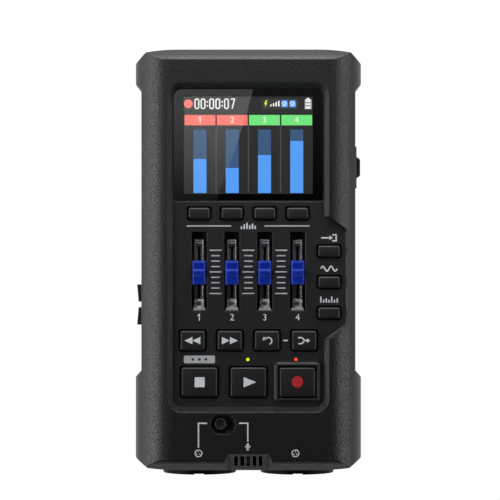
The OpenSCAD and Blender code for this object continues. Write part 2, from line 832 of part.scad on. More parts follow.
module fader_lever(i) color(steel) at_mid([soft_at[i][0], track_y]) {
    at_z(z_board + floor_t + slide_gap)
        linear_extrude(pot_h - floor_t - 2 * slide_gap) square([runner_w, runner_l], center = true);
    at_z(z_cover - 1) linear_extrude(z_cap + grip_h - z_cover + 1) square([lever_w, lever_l], center = true);
}

module fader_cap_1() fader_cap(0);
module fader_cap_2() fader_cap(1);
module fader_cap_3() fader_cap(2);
module fader_cap_4() fader_cap(3);
module fader_lever_1() fader_lever(0);
module fader_lever_2() fader_lever(1);
module fader_lever_3() fader_lever(2);
module fader_lever_4() fader_lever(3);

module fader_bodies() color(black) for (p = soft_at) at_mid([p[0], track_y]) at_z(z_board) difference() {
    linear_extrude(pot_h) square([pot_w, pot_l], center = true);
    at_z(floor_t) linear_extrude(pot_h)
        square([runner_w + 2 * slide_gap, runner_l + fader_travel + 2 * slide_gap], center = true);
}

// Slotted steel channel over each fader, with bridges across its ends and a lip that rises to the panel
module fader_covers() color(steel) for (p = soft_at) at_mid([p[0], track_y]) at_z(z_cover) {
    linear_extrude(cover_t) difference() {
        square([cover_w, cover_l], center = true);
        square([lever_w + 2 * slide_gap, lever_l + fader_travel + 3 * slide_gap], center = true);
    }
    for (x = [-1, 1]) translate([x * (cover_w - fold_t) / 2, 0, 0])
        linear_extrude(fold_h) square([fold_t, cover_l], center = true);
    for (b = bridges) translate([0, b[0], 0])
        linear_extrude(bridge_h) square([cover_w, b[1]], center = true);
    rise = z_panel - 0.6 - z_cover - cover_t;
    run = sqrt(rise * rise + lip_run * lip_run);
    translate([0, 0.3 - cover_l / 2, 0]) rotate([-atan2(rise, lip_run), 0, 0])
        linear_extrude(0.35) polygon([[-1.4, 0], [1.4, 0], [2.5, -run], [-2.5, -run]]);
}

// Source switch

module source_knob() color(grey) at_mid([dial_x, dish_y]) {
    at_z(z_dish + 0.15) rotate_extrude() polygon([[0, 0], [dial_r, 0], [dial_r, dish_deep - 0.8],
        [dial_r - 0.2, dish_deep - 0.6], [dial_r - 0.45, dish_deep - 0.6], [dial_r - 0.8, dish_deep - 1.1],
        [0, dish_deep - 1.3]]);
    at_z(z_board + floor_t + slide_gap)
        linear_extrude(z_dish - z_board - floor_t) square(stem_w, center = true);
}

module source_switch() color(steel) at_mid([dish_x, dish_y]) at_z(z_board) difference() {
    linear_extrude(throw_h) square([9, 4.4], center = true);
    at_z(floor_t) linear_extrude(throw_h)
        square([stem_w + source_travel + 2 * slide_gap, stem_w + 2 * slide_gap], center = true);
}

// Power switch on the right side

module power_knob() color(grey) at_mid([0, power_y]) at_z(z_side) {
    x0 = x_waist + plate_out + 0.15;
    x1 = x_waist + knob_out;
    end = knob_l / 2;
    translate([0, 0, -knob_h / 2]) linear_extrude(knob_h) polygon([[x0, -end], [x1 - 0.25, 0.75 - end],
        [x1, 1 - end], [x1, end - 1], [x1 - 0.25, end - 0.75], [x0, end]]);
    translate([x_in - stem_in, -stem_l / 2, -stem_h / 2]) cube([x0 - x_in + stem_in + 0.3, stem_l, stem_h]);
}

module power_plate() color(black) at_mid([0, power_y]) at_z(z_side) difference() {
    translate([x_waist - plate_sink, 0, 0]) rotate([90, 0, 90])
        bevel_block([plate_l, plate_h], plate_sink + plate_out, 1, 0.3);
    cube([far, power_slot(), stem_h + 2 * slide_gap], center = true);
}

module power_switch() color(steel) at_mid([0, power_y]) difference() {
    translate([x_in - throw_w, -throw_l / 2, z_main])
        cube([throw_w - slide_gap, throw_l, 2 * (z_side - z_main) - 0.8]);
    translate([x_in - stem_in - slide_gap, -power_slot() / 2, z_side - stem_h / 2 - slide_gap])
        cube([far, power_slot(), stem_h + 2 * slide_gap]);
}

// Volume keys on the left side, each with a sloped face

module volume_key(i) color(grey) mirror([1, 0, 0]) at_mid([0, volume_at(i)]) at_z(z_side) {
    way = i == 0 ? 1 : -1;
    flange_x = x_in - seat_gap;
    at_z(-volume_h / 2) linear_extrude(volume_h) polygon([[flange_x - 0.4, -volume_l / 2],
        [x_waist + volume_out - volume_tilt * way, -volume_l / 2],
        [x_waist + volume_out + volume_tilt * way, volume_l / 2],
        [flange_x - 0.4, volume_l / 2]]);
    translate([flange_x - flange_t, -volume_l / 2 - flange_lip, -volume_h / 2 - flange_lip])
        cube([flange_t, volume_l + 2 * flange_lip, volume_h + 2 * flange_lip]);
    translate([x_in - side_tip + volume_travel + key_play, -0.9, -0.9])
        cube([side_tip - volume_travel - key_play - 0.5, 1.8, 1.8]);
}

module volume_up_key() volume_key(0);
module volume_down_key() volume_key(1);

module volume_switches() color(steel) for (i = [0, 1])
    mirror([1, 0, 0]) at_mid([x_in - side_tip, volume_at(i)]) {
        translate([-5, -2.2, z_main]) cube([4.4, 4.4, z_side - z_main + 2]);
        translate([-1, -0.8, z_side - 0.8]) cube([1, 1.6, 1.6]);
    }

// Microphone

module mic_grille() color(black) difference() {
    along_x(mic_w) polygon([for (k = [[0, 0], [1, 0], [1, 1], [0, 1]])
        [y_low + k[0] * mic_run, mic_line(y_low + k[0] * mic_run) - k[1] * mic_t]]);
    for (i = [-2:2]) translate([i * mic_pitch - mic_slot / 2, y_low + mic_frame, z_part])
        cube([mic_slot, mic_run - mic_frame - mic_slot / 2, body_t]);
}

module mic_capsule() color(steel)
    translate([0, y_low + wall + seat_gap, mic_line(y_low + wall) - mic_t - capsule_r - 0.2])
        rotate([-90, 0, 0]) cylinder(r = capsule_r, h = capsule_l);

// Input jacks: ring, flange inside the wall, and a core with contact holes and a plug bore

module input_jack(s) color(black) jack_axis(s) difference() {
    seat = jack_out + wall + seat_gap;
    rotate_extrude() polygon([[plug_r, core_in], [core_r - 0.4, core_in], [core_r, core_in + 0.4],
        [core_r, shell_deep], [shell_r, shell_deep], [shell_r, 0.5], [shell_r + 0.5, 0],
        [ring_r - ring_edge, 0], [ring_r, ring_edge], [ring_r, seat], [flange_r, seat],
        [flange_r, seat + flange_l], [jack_r, seat + flange_l], [jack_r, jack_l], [0, jack_l],
        [0, core_in + plug_l], [plug_r, core_in + plug_l]]);
    for (a = contact_turn) rotate([0, 0, -a]) translate([contact_at, 0, core_in - past])
        cylinder(r = contact_r, h = shell_deep);
    translate([-notch_w / 2, -ring_r - past, -past])
        cube([notch_w, ring_r - shell_r + past + 0.2, past + notch_deep]);
}

module input_jack_a() input_jack(-1);
module input_jack_b() input_jack(1);

module jack_contacts() color(brass) for (s = [-1, 1]) jack_axis(s)
    for (a = contact_turn) rotate([0, 0, -a]) translate([contact_at, 0, core_in + 0.4]) difference() {
        cylinder(r = contact_r - snug, h = contact_l);
        at_z(-past) cylinder(r = contact_r - 0.4, h = contact_l - past);
    }

module jack_board() color(board)
    translate([-jack_pitch / 2 - jack_r, jack_end + seat_gap, z_part - jack_r + 1])
        cube([jack_pitch + 2 * jack_r, board_t, 2 * jack_r - 2]);

// Boards

module front_board() color(board) at_z(z_board - board_t) linear_extrude(board_t) difference() {
    translate([0, mid_y + (pocket_top + dish_y - 4) / 2])
        square([2 * main_x, pocket_top - dish_y + 4], center = true);
    boss_notches();
    for (p = posts) translate([p[0], mid_y + p[1]]) circle(pilot_r + slide_gap);
}

// Cuts at a board's edge that clear the case bosses
module boss_notches() for (y = boss_y) both_sides() translate([boss_x, mid_y + y]) {
    circle(boss_r + notch_gap);
    translate([0, -boss_r - notch_gap]) square([far, 2 * (boss_r + notch_gap)]);
}

module main_board() color(board) at_z(z_main - board_t) linear_extrude(board_t) difference() {
    translate([-main_x, bay_low]) square([2 * main_x, main_top - bay_low]);
    boss_notches();
    for (p = main_posts) both_sides() translate([p[0], mid_y + p[1]]) circle(pilot_r + slide_gap);
}

module board_link() color(black) at_mid([0, link_y]) at_z(z_main)
    linear_extrude(z_board - board_t - z_main) rounded([24, 5], 0.8);

// Sockets on the sides

module phones_jack() color(black) mirror([1, 0, 0]) at_mid([0, phones_y]) at_z(z_side) difference() {
    union() {
        translate([x_in - 14, -3.5, z_main - z_side]) cube([14 - slide_gap, 7, 2 * (z_side - z_main) - 0.6]);
        translate([x_in - 1, 0, 0]) rotate([0, 90, 0]) cylinder(r = 3, h = wall + 0.7);
    }
    translate([x_in - 12, 0, 0]) rotate([0, 90, 0]) cylinder(r = phones_r, h = 14 + wall);
}

module charge_port() color(steel) at_mid([0, port_y]) difference() {
    union() {
        intersection() {
            port_shape(0);
            translate([x_in - 6, -port_w, 0]) cube([6 + wall - 0.3, 2 * port_w, far]);
        }
        translate([x_in - 6, -3, z_main]) cube([5.4, 6, port_z - port_h / 2 - z_main + 0.4]);
    }
    intersection() {
        port_shape(-0.3);
        translate([x_in - 4.5, -port_w, 0]) cube([far, 2 * port_w, far]);
        difference() {
            cube(far, center = true);
            translate([0, -3.3, port_z - 0.35]) cube([x_in + 0.6, 6.6, 0.7]);
        }
    }
}

module card_socket() color(steel) at_mid([0, card_y]) difference() {
    translate([x_in - 15, -7.2, z_main]) cube([14.8, 14.4, slot_z - z_main + 1]);
    translate([x_in - 14, -5.6, slot_z - 0.5]) cube([far, 11.2, 1]);
}

// Lid over the card slot, turning on pins at its upper end
module card_cover() color(black) at_mid([0, card_y]) difference() {
    union() {
        at_z(lid_z - lid_h / 2) linear_extrude(lid_h) {
            translate([x_waist - lid_t, -lid_l / 2]) square([lid_t, lid_l - lid_t / 2]);
            translate([x_waist - lid_t / 2, lid_l / 2 - lid_t / 2]) circle(lid_t / 2);
        }
        translate([x_waist - lid_t / 2, lid_l / 2 - lid_t / 2, lid_z])
            cylinder(r = lid_pin_r, h = lid_h + 2 * lid_pin_l, center = true);
    }
    for (i = [0:2]) translate([x_waist, 1.2 * i - lid_l / 2 + 2.2, lid_z])
        rotate([0, 0, 45]) cube([0.5, 0.5, lid_h - 2], center = true);
}

// Battery door, cells and contact leaves

module battery_door() color(charcoal) difference() {
    union() {
        along_x(bay_w - 2 * door_gap) {
            translate([bay_low + door_gap, z_back]) square([hinge_y - bay_low - door_gap, wall]);
            translate([hinge_y, hinge_z]) circle(wall / 2);
        }
        translate([0, hinge_y, hinge_z]) rotate([0, 90, 0])
            cylinder(r = hinge_r, h = bay_w + 2 * hinge_l - 4 * slide_gap, center = true);
    }
    for (i = [0:4]) translate([0, bay_low + 4 + 1.8 * i, z_back])
        rotate([45, 0, 0]) cube([22, 0.7, 0.7], center = true);
}

module battery_cells() color(steel) for (i = [0:3]) {
    way = i % 2 == 0 ? 1 : -1;
    translate([(i - 1.5) * cell_pitch, (bay_low + bay_top) / 2, z_cell]) rotate([-90 * way, 0, 0])
        translate([0, 0, -cell_l / 2]) rotate_extrude() polygon([[0, 0], [cell_r - 0.5, 0],
            [cell_r, 0.5], [cell_r, cell_l - 2], [cell_r - 0.5, cell_l - 1.5], [2.7, cell_l - 1.5],
            [2.7, cell_l], [0, cell_l]]);
}

module battery_contacts() color(steel) for (i = [0:3], e = [0, 1])
    translate([(i - 1.5) * cell_pitch, e == 0 ? bay_low : bay_top, z_cell]) mirror([0, e, 0])
        along_x(leaf_w) leaf();

// Bent strip: flat against the wall, with a nose that meets the cell
module leaf() translate([snug, 0]) {
    n = leaf_l - 3 * snug;
    polygon([[0, -4.4], [0.4, -4.4], [0.4, -2.2], [n, -0.5], [n, 0.5], [0.4, 2.2], [0.4, 4.4], [0, 4.4],
        [0, 2], [n - 0.5, 0.25], [n - 0.5, -0.25], [0, -2]]);
}

module speaker() color(black) at_mid([0, speaker_y]) at_z(z_back + wall) rotate_extrude()
    polygon([[0, 2.4], [3, 2.4], [speaker_r - 3, 0.6], [speaker_r - 2, 0], [speaker_r, 0], [speaker_r, 2.2],
        [speaker_r - 2.5, 2.6], [7.5, 4], [7.5, 6.4], [0, 6.4]]);

// Feet and screws

module rubber_feet() color(black) for (x = [-1, 1], y = [-1, 1]) at_mid([x * foot_at[0], y * foot_at[1]])
    rotate_extrude() polygon([[0, 0], [foot_r - 0.4, 0], [foot_r, 0.4], [foot_r, foot_h + foot_sink],
        [0, foot_h + foot_sink]]);

module case_screws() color(steel) boss_places() difference() {
    union() {
        at_z(z_back + sink_h - head_h) cylinder(r = head_r, h = head_h);
        at_z(z_back + sink_h - 0.5) cylinder(r = screw_r, h = z_part - z_back - sink_h + boss_deep - 1);
    }
    for (a = [0, 90]) rotate([0, 0, a]) at_z(z_back + sink_h - head_h) cube([2.6, 0.6, 1.6], center = true);
}

module board_screw(up) mirror([0, 0, up ? 0 : 1]) {
    at_z(-1.2) cylinder(r = 1.5, h = 1.2);
    at_z(-0.5) cylinder(r = pilot_r, h = board_t + 4);
}

module board_screws() color(steel) {
    for (p = posts) at_mid(p) at_z(z_board - board_t) board_screw(true);
    for (p = main_posts) both_sides() at_mid(p) at_z(z_main) board_screw(false);
}

front_case();
rear_case();
control_panel();
display_window();
display_module();
fader_cap_1();
fader_cap_2();
fader_cap_3();
fader_cap_4();
fader_lever_1();
fader_lever_2();
fader_lever_3();
fader_lever_4();
fader_bodies();
fader_covers();
soft_key_1();
soft_key_2();
soft_key_3();
soft_key_4();
side_key_1();
side_key_2();
side_key_3();
rewind_key();
forward_key();
undo_key();
bounce_key();
stop_key();
play_key();
record_key();
play_lamp();
record_lamp();
source_knob();
source_switch();
power_knob();
power_plate();
power_switch();
volume_up_key();
volume_down_key();
volume_switches();
mic_grille();
mic_capsule();
input_jack_a();
input_jack_b();
jack_contacts();
jack_board();
front_board();
key_switches();
main_board();
board_link();
phones_jack();
charge_port();
card_socket();
card_cover();
battery_door();
battery_cells();
battery_contacts();
speaker();
rubber_feet();
case_screws();
board_screws();
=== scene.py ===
"""Looks of a pocket multitrack recorder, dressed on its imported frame. Sizes are in mm, objects in metres."""

import math

import bmesh
import bpy
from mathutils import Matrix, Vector

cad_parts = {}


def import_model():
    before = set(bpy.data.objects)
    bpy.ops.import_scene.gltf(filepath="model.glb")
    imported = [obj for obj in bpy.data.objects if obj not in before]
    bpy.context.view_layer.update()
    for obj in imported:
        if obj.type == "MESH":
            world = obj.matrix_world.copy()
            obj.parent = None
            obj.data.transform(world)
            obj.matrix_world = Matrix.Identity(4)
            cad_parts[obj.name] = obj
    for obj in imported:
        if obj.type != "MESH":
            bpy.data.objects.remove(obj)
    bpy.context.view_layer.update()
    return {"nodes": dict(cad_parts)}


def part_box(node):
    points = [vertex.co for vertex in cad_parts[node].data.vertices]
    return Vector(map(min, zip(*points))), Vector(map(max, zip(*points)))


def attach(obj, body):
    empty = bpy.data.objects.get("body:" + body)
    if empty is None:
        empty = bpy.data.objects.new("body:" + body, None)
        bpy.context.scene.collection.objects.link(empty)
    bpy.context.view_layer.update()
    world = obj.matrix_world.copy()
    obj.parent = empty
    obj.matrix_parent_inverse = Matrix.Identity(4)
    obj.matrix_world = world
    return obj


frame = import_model()
nodes = frame["nodes"]

MM = 0.001
ROOT = "recorder"


# Heights and places read from the frame, in mm

def node_box(name):
    """Lowest and highest corner of a node, in mm."""
    low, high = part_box(name)
    return low / MM, high / MM


def middle(name):
    """Middle of a node in plan, in mm."""
    low, high = node_box(name)
    return (low.x + high.x) / 2, (low.y + high.y) / 2


LAMP_RISE = 0.15
FACE_Z = node_box("front_case")[1].z
KEY_TOP_Z = node_box("play_key")[1].z
PANEL_Z = node_box("play_lamp")[1].z - LAMP_RISE
SCREEN_Z = node_box("display_module")[1].z
WINDOW_LOW, WINDOW_HIGH = node_box("display_window")
MID_Y = middle("front_case")[1]
PRINT_T = 0.03
SOFT_KEYS = ["soft_key_%d" % i for i in (1, 2, 3, 4)]
SIDE_KEYS = ["side_key_%d" % i for i in (1, 2, 3)]
MIDDLE_KEYS = ["rewind_key", "forward_key", "undo_key", "bounce_key"]
MAIN_KEYS = ["stop_key", "play_key", "record_key"]
FACE_KEYS = SOFT_KEYS + SIDE_KEYS + MIDDLE_KEYS + MAIN_KEYS
FADER_CAPS = ["fader_cap_%d" % i for i in (1, 2, 3, 4)]
FADER_LEVERS = ["fader_lever_%d" % i for i in (1, 2, 3, 4)]


# Material helpers

NOISE_LOW, NOISE_HIGH = 0.3, 0.7


def colour(code):
    """Linear colour of an sRGB hex code."""
    parts = [int(code[i:i + 2], 16) / 255 for i in (1, 3, 5)]
    return tuple(c / 12.92 if c <= 0.04045 else ((c + 0.055) / 1.055) ** 2.4 for c in parts) + (1.0,)


def shader_of(look):
    """Principled shader of a material."""
    return look.node_tree.nodes["Principled BSDF"]


def new_look(name, **values):
    """Material with a Principled shader; each value goes on the shader's own socket."""
    look = bpy.data.materials.new(name)
    look.use_nodes = True
    for socket, value in values.items():
        shader_of(look).inputs[socket.replace("_", " ")].default_value = value
    return look


def add(look, kind, values=(), **settings):
    """New node in a material or the world, with its settings and socket values."""
    node = look.node_tree.nodes.new(kind)
    for key, value in settings.items():
        setattr(node, key, value)
    for socket, value in dict(values).items():
        node.inputs[socket].default_value = value
    return node


def join(look, output, target):
    """Link from an output to a socket."""
    look.node_tree.links.new(output, target)


def maths(look, operation, *values):
    """Result of a maths node; each value may be a number or an output."""
    node = add(look, "ShaderNodeMath", operation=operation)
    for socket, value in zip(node.inputs, values):
        if isinstance(value, (int, float)):
            socket.default_value = value
        else:
            join(look, value, socket)
    return node.outputs["Value"]


def object_place(look):
    """Place on the object, in metres."""
    return add(look, "ShaderNodeTexCoord").outputs["Object"]


def axes(look, vector):
    """X, Y and Z outputs of a vector."""
    split = add(look, "ShaderNodeSeparateXYZ")
    join(look, vector, split.inputs["Vector"])
    return split.outputs


def noise(look, size, stretch=(1, 1, 1), detail=2.0):
    """Noise with grains of about the given size in mm, fixed to the object."""
    mapping = add(look, "ShaderNodeMapping", {"Scale": [1 / (size * MM * s) for s in stretch]})
    texture = add(look, "ShaderNodeTexNoise", {"Scale": 1.0, "Detail": detail})
    join(look, object_place(look), mapping.inputs["Vector"])
    join(look, mapping.outputs["Vector"], texture.inputs["Vector"])
    return texture.outputs["Fac"]


def span(look, value, low, high, to_low, to_high, curve="LINEAR"):
    """Value remapped from one range to another."""
    limits = {"From Min": low, "From Max": high, "To Min": to_low, "To Max": to_high}
    node = add(look, "ShaderNodeMapRange", limits, interpolation_type=curve)
    join(look, value, node.inputs["Value"])
    return node.outputs["Result"]


def grid(look, width, height, line, offset=0.5):
    """1 on the lines between bricks of the given size in mm and 0 on the bricks."""
    sizes = {"Scale": 1.0, "Brick Width": width * MM, "Row Height": height * MM, "Mortar Size": line * MM}
    node = add(look, "ShaderNodeTexBrick", sizes, offset=offset)
    join(look, object_place(look), node.inputs["Vector"])
    return node.outputs["Fac"]


def blend_colours(look, factor, first, second):
    """Colour that goes from first to second; either may be a colour or an output."""
    node = add(look, "ShaderNodeMix", data_type="RGBA")
    join(look, factor, node.inputs["Factor"])
    for socket, value in (("A", first), ("B", second)):
        target = next(i for i in node.inputs if i.name == socket and i.type == "RGBA")
        if isinstance(value, tuple):
            target.default_value = value
        else:
            join(look, value, target)
    return next(o for o in node.outputs if o.type == "RGBA")


def rounding(look, radius):
    """Normals as if every edge were rounded by a radius in mm."""
    return add(look, "ShaderNodeBevel", {"Radius": radius * MM}, samples=8)


def edges(look, rounded):
    """1 on edges and 0 on flats, from how far the rounded normal turns away from the true one."""
    reach = 0.12
    true = add(look, "ShaderNodeNewGeometry")
    dot = add(look, "ShaderNodeVectorMath", operation="DOT_PRODUCT")
    join(look, rounded.outputs["Normal"], dot.inputs[0])
    join(look, true.outputs["Normal"], dot.inputs[1])
    return span(look, dot.outputs["Value"], 1.0, 1.0 - reach, 0.0, 1.0)


def relief(look, height, depth, under=None):
    """Bump of the given depth in mm on the shader, on top of another bump if there is one."""
    node = add(look, "ShaderNodeBump", {"Strength": 1.0, "Distance": depth * MM})
    join(look, height, node.inputs["Height"])
    if under:
        join(look, under.outputs["Normal"], node.inputs["Normal"])
    join(look, node.outputs["Normal"], shader_of(look).inputs["Normal"])
    return node


def roll_off(look, start, end):
    """Height that eases down between two distances from the middle line, in mm."""
    out = maths(look, "ABSOLUTE", axes(look, object_place(look))["X"])
    return span(look, out, start * MM, end * MM, 1.0, 0.0, "SMOOTHSTEP")


def paint(look, output):
    """Gives the shader its colour."""
    join(look, output, shader_of(look).inputs["Base Color"])


def roughen(look, value, low, high):
    """Roughness between two values, driven by a noise."""
    join(look, span(look, value, NOISE_LOW, NOISE_HIGH, low, high), shader_of(look).inputs["Roughness"])


def streaked(look, dark, light):
    """Streaks along the case and the colour that they give drawn metal."""
    streak = noise(look, 0.25, stretch=(1, 30, 1))
    share = span(look, streak, NOISE_LOW, NOISE_HIGH, 0.0, 1.0)
    return streak, blend_colours(look, share, colour(dark), colour(light))


def smear(look, dark, light):
    """Faint smears in the colour and the polish."""
    smears = noise(look, 9.0, detail=4.0)
    paint(look, blend_colours(look, smears, colour(dark), colour(light)))
    roughen(look, smears, 0.0, 0.001)


# Materials

GLASS_SHARE = 0.12
SPECKLE_LOW, SPECKLE_HIGH = 0.38, 0.62
STREAK_DEPTH = 0.004


def moulded(name, dark, light, painted_edge_light, grain, depth, rough, edge=0.3, gloss=0.4, vary=0.06):
    """Grained plastic: speckle between two shades, rounded edges with a paler colour that is a painted
    highlight, and a moulded bump.
    """
    look = new_look(name, Roughness=rough, Specular_IOR_Level=gloss)
    soft = rounding(look, edge)
    fine = noise(look, grain)
    share = span(look, fine, SPECKLE_LOW, SPECKLE_HIGH, 0.0, 1.0)
    speckle = blend_colours(look, share, colour(dark), colour(light))
    # The paler colour mixed in on the edges is a painted highlight.
    paint(look, blend_colours(look, edges(look, soft), speckle, colour(painted_edge_light)))
    roughen(look, fine, rough + vary, rough - vary)
    relief(look, fine, depth, soft)
    return look


def case_plastic(name, painted_edge_light):
    """Coarse black plastic of the case."""
    # The edge colour given here is a painted highlight.
    return moulded(name, "#060607", "#111112", painted_edge_light, grain=0.75, depth=0.11, rough=0.44, gloss=0.55,
                   vary=0.09)


def case_look():
    """Plastic of the rear shell and the battery door."""
    return case_plastic("case_grain", "#1c1c1d")


def front_look():
    """The same plastic, with a face that rolls off at the sides, a rim round the panel that is matt at the
    lower end, painted light that makes the rim paler, and a brighter painted highlight on the edges.
    """
    roll_start, roll_end, roll_depth = 27.5, 36.5, 1.12
    matt_low, matt_high, more_rough = -60.0, -50.0, 0.4
    painted_rim_low, painted_rim_high = -51.0, 61.0
    # The edge colour given here is a painted highlight.
    look = case_plastic("front_grain", "#3a3a3c")
    inputs = shader_of(look).inputs
    bump = inputs["Normal"].links[0].from_node
    soft = bump.inputs["Normal"].links[0].from_node
    crown = relief(look, roll_off(look, roll_start, roll_end), roll_depth, soft)
    join(look, crown.outputs["Normal"], bump.inputs["Normal"])
    join(look, bump.outputs["Normal"], inputs["Normal"])
    grained = inputs["Roughness"].links[0].from_socket
    matt = maths(look, "MULTIPLY_ADD", rim_place(look, matt_low, matt_high), more_rough, grained)
    join(look, matt, inputs["Roughness"])
    plain = inputs["Base Color"].links[0].from_socket
    # Painted light: a paler colour on the rim round the panel stands in for the light it catches.
    paint(look, blend_colours(look, rim_place(look, painted_rim_low, painted_rim_high), plain, colour("#2b2b2d")))
    return look


def rim_place(look, low, high):
    """1 on the sloped rim between two distances along the case, just under the face; 0 elsewhere."""
    half_x, half_z, depth, full = 30.5, 1.05, 1.2, 0.9
    half = (half_x, (high - low) / 2, half_z)
    centre = (0, MID_Y + (low + high) / 2, FACE_Z - depth)
    scale = [1 / (h * MM) for h in half]
    shift = [-c / h for c, h in zip(centre, half)]
    mapping = add(look, "ShaderNodeMapping", {"Location": shift, "Scale": scale})
    reach = add(look, "ShaderNodeVectorMath", operation="ABSOLUTE")
    join(look, object_place(look), mapping.inputs["Vector"])
    join(look, mapping.outputs["Vector"], reach.inputs[0])
    far = axes(look, reach.outputs["Vector"])
    most = maths(look, "MAXIMUM", maths(look, "MAXIMUM", far["X"], far["Y"]), far["Z"])
    return span(look, most, 1.0, full, 0.0, 1.0)


def panel_look():
    """Satin plate round the controls."""
    return moulded("panel_satin", "#0e0e0f", "#19191a", "#2c2c2d", grain=0.6, depth=0.02, rough=0.44,
                   gloss=0.65)


def trim_look():
    """Dark grey plastic of the card cover."""
    return moulded("trim_plastic", "#202021", "#2e2e2f", "#4c4c50", grain=0.25, depth=0.01, rough=0.5)


def grille_look():
    """Grey plastic of the microphone grille."""
    return moulded("grille_plastic", "#434344", "#515153", "#6c6c70", grain=0.3, depth=0.01, rough=0.5)


def key_look():
    """Smooth rubber of the keys and the power switch."""
    return moulded("key_rubber", "#121213", "#19191a", "#1e1e1f", grain=0.3, depth=0.006, rough=0.42,
                   gloss=0.65)


def knob_look():
    """Black nylon of the source knob, with a painted highlight along its edges."""
    return moulded("knob_nylon", "#090909", "#0f0f10", "#505052", grain=0.25, depth=0.006, rough=0.5,
                   edge=0.15)


def jack_look():
    """Dull black nylon of the jacks."""
    return moulded("jack_nylon", "#040405", "#090909", "#0e0e0f", grain=0.3, depth=0.01, rough=0.5,
                   gloss=0.1)


def rubber_look():
    """Matt rubber of the feet."""
    return moulded("foot_rubber", "#0e0e0e", "#1a1a1a", "#242424", grain=0.35, depth=0.03, rough=0.78)


def inner_look():
    """Plain black plastic inside the case."""
    return moulded("inner_plastic", "#0c0c0d", "#141415", "#1c1c1d", grain=0.3, depth=0.01, rough=0.55)


def cap_look():
    """Blue plastic of the fader caps, with a painted highlight along its edges."""
    return moulded("cap_blue", "#011e88", "#022390", "#5a76ea", grain=0.2, depth=0.006, rough=0.5,
                   edge=0.6, gloss=0.15)


def metal_look(name, dark, light, rough):
    """Drawn metal with streaks along the case and duller blotches."""
    look = new_look(name, Metallic=1.0, Roughness=rough)
    streak, drawn = streaked(look, dark, light)
    paint(look, drawn)
    roughen(look, noise(look, 3.0), rough - 0.08, rough + 0.1)
    relief(look, streak, STREAK_DEPTH)
    return look


def cover_look():
    """Pressed steel with painted light: paler and matt along its cut edges as a painted highlight, and near
    its lower end and down its lip as painted light.
    """
    glint_share, shine = 0.3, 0.85
    look = new_look("cover_steel")
    soft = rounding(look, 0.3)
    edge_glint = span(look, edges(look, soft), 0.0, 1.0, 0.0, glint_share)
    end = node_box("fader_covers")[0].y
    lip_low, lip_high, lip_end = [(end + y) * MM for y in (0.5, 2.3, 2.35)]
    block_y, block_half = (end + 3.45) * MM, 0.75 * MM
    y = axes(look, object_place(look))["Y"]
    block = maths(look, "COMPARE", y, block_y, block_half)
    below = maths(look, "LESS_THAN", y, lip_end)
    lip = maths(look, "MULTIPLY", span(look, y, lip_low, lip_high, 0.0, 1.0), below)
    # Painted light: the block above the lip, the lip (paler towards its deep end) and the edges get a pale,
    # less metallic colour.
    painted_light = maths(look, "MAXIMUM", maths(look, "MAXIMUM", block, lip), edge_glint)
    streak, drawn = streaked(look, "#6c6d6f", "#939496")
    paint(look, blend_colours(look, painted_light, drawn, colour("#e2e3e5")))
    roughen(look, noise(look, 3.0), 0.36, 0.5)
    join(look, span(look, painted_light, 0.0, 1.0, shine, 0.0), shader_of(look).inputs["Metallic"])
    relief(look, streak, STREAK_DEPTH, soft)
    return look


def board_look():
    """Lacquered circuit board: green mask over a grid of tracks."""
    look = new_look("board_lacquer", Roughness=0.35)
    tracks = grid(look, 4.2, 2.1, 0.3)
    green = blend_colours(look, noise(look, 6.0), colour("#0d4a26"), colour("#15633a"))
    paint(look, blend_colours(look, tracks, green, colour("#2a7a4a")))
    relief(look, tracks, 0.03)
    return look


def cell_look():
    """Plain sleeve of a battery cell, with streaks along it."""
    look = new_look("cell_sleeve", Roughness=0.32, Metallic=0.4)
    streak = noise(look, 0.4, stretch=(1, 20, 1))
    paint(look, blend_colours(look, streak, colour("#6d7075"), colour("#8d9096")))
    relief(look, noise(look, 1.2), 0.01)
    return look


def glass_look():
    """Thin clear window that mirrors a little, with faint smears."""
    look = new_look("window_glass", IOR=2.35, Alpha=GLASS_SHARE)
    smear(look, "#050506", "#0a0a0b")
    return look


def lamp_look(name, code, strength):
    """Lit end of a light pipe, a little dimmer in places."""
    dim_share = 0.85
    look = new_look(name, Roughness=0.25, Base_Color=colour(code), Emission_Color=colour(code))
    glow = span(look, noise(look, 0.5), NOISE_LOW, NOISE_HIGH, strength * dim_share, strength)
    join(look, glow, shader_of(look).inputs["Emission Strength"])
    return look


def screen_look(name, code):
    """Lit patch of the display with the grid of its pixels, bright enough to show through the window."""
    pixel, line, line_share = 0.15, 0.02, 0.9
    look = new_look(name, Roughness=0.4, Specular_IOR_Level=0.0, Base_Color=(0.004, 0.004, 0.004, 1.0),
                    Emission_Color=colour(code))
    strength = 1 / (1 - GLASS_SHARE) ** 2
    glow = span(look, grid(look, pixel, pixel, line, offset=0.0), 0.0, 1.0, strength, strength * line_share)
    join(look, glow, shader_of(look).inputs["Emission Strength"])
    return look


def ink_look(name, dark, light):
    """Printed ink with a slightly uneven coat."""
    look = new_look(name, Roughness=0.5)
    paint(look, blend_colours(look, noise(look, 0.35), colour(dark), colour(light)))
    relief(look, noise(look, 0.12), 0.004)
    return look


def mask_look():
    """Polished black border of the window, with the same faint smears."""
    look = new_look("window_mask", Specular_IOR_Level=0.27)
    smear(look, "#020202", "#050505")
    return look


CASE, FRONT = case_look(), front_look()
PANEL, TRIM, KEY, KNOB, JACK = panel_look(), trim_look(), key_look(), knob_look(), jack_look()
GRILLE = grille_look()
RUBBER, INNER, CAP, BOARD, CELL = rubber_look(), inner_look(), cap_look(), board_look(), cell_look()
STEEL = metal_look("steel", "#77787a", "#a5a6a8", 0.34)
COVER_STEEL = cover_look()
BRASS = metal_look("contact_brass", "#a8823a", "#d8b468", 0.28)
GLASS, MASK = glass_look(), mask_look()
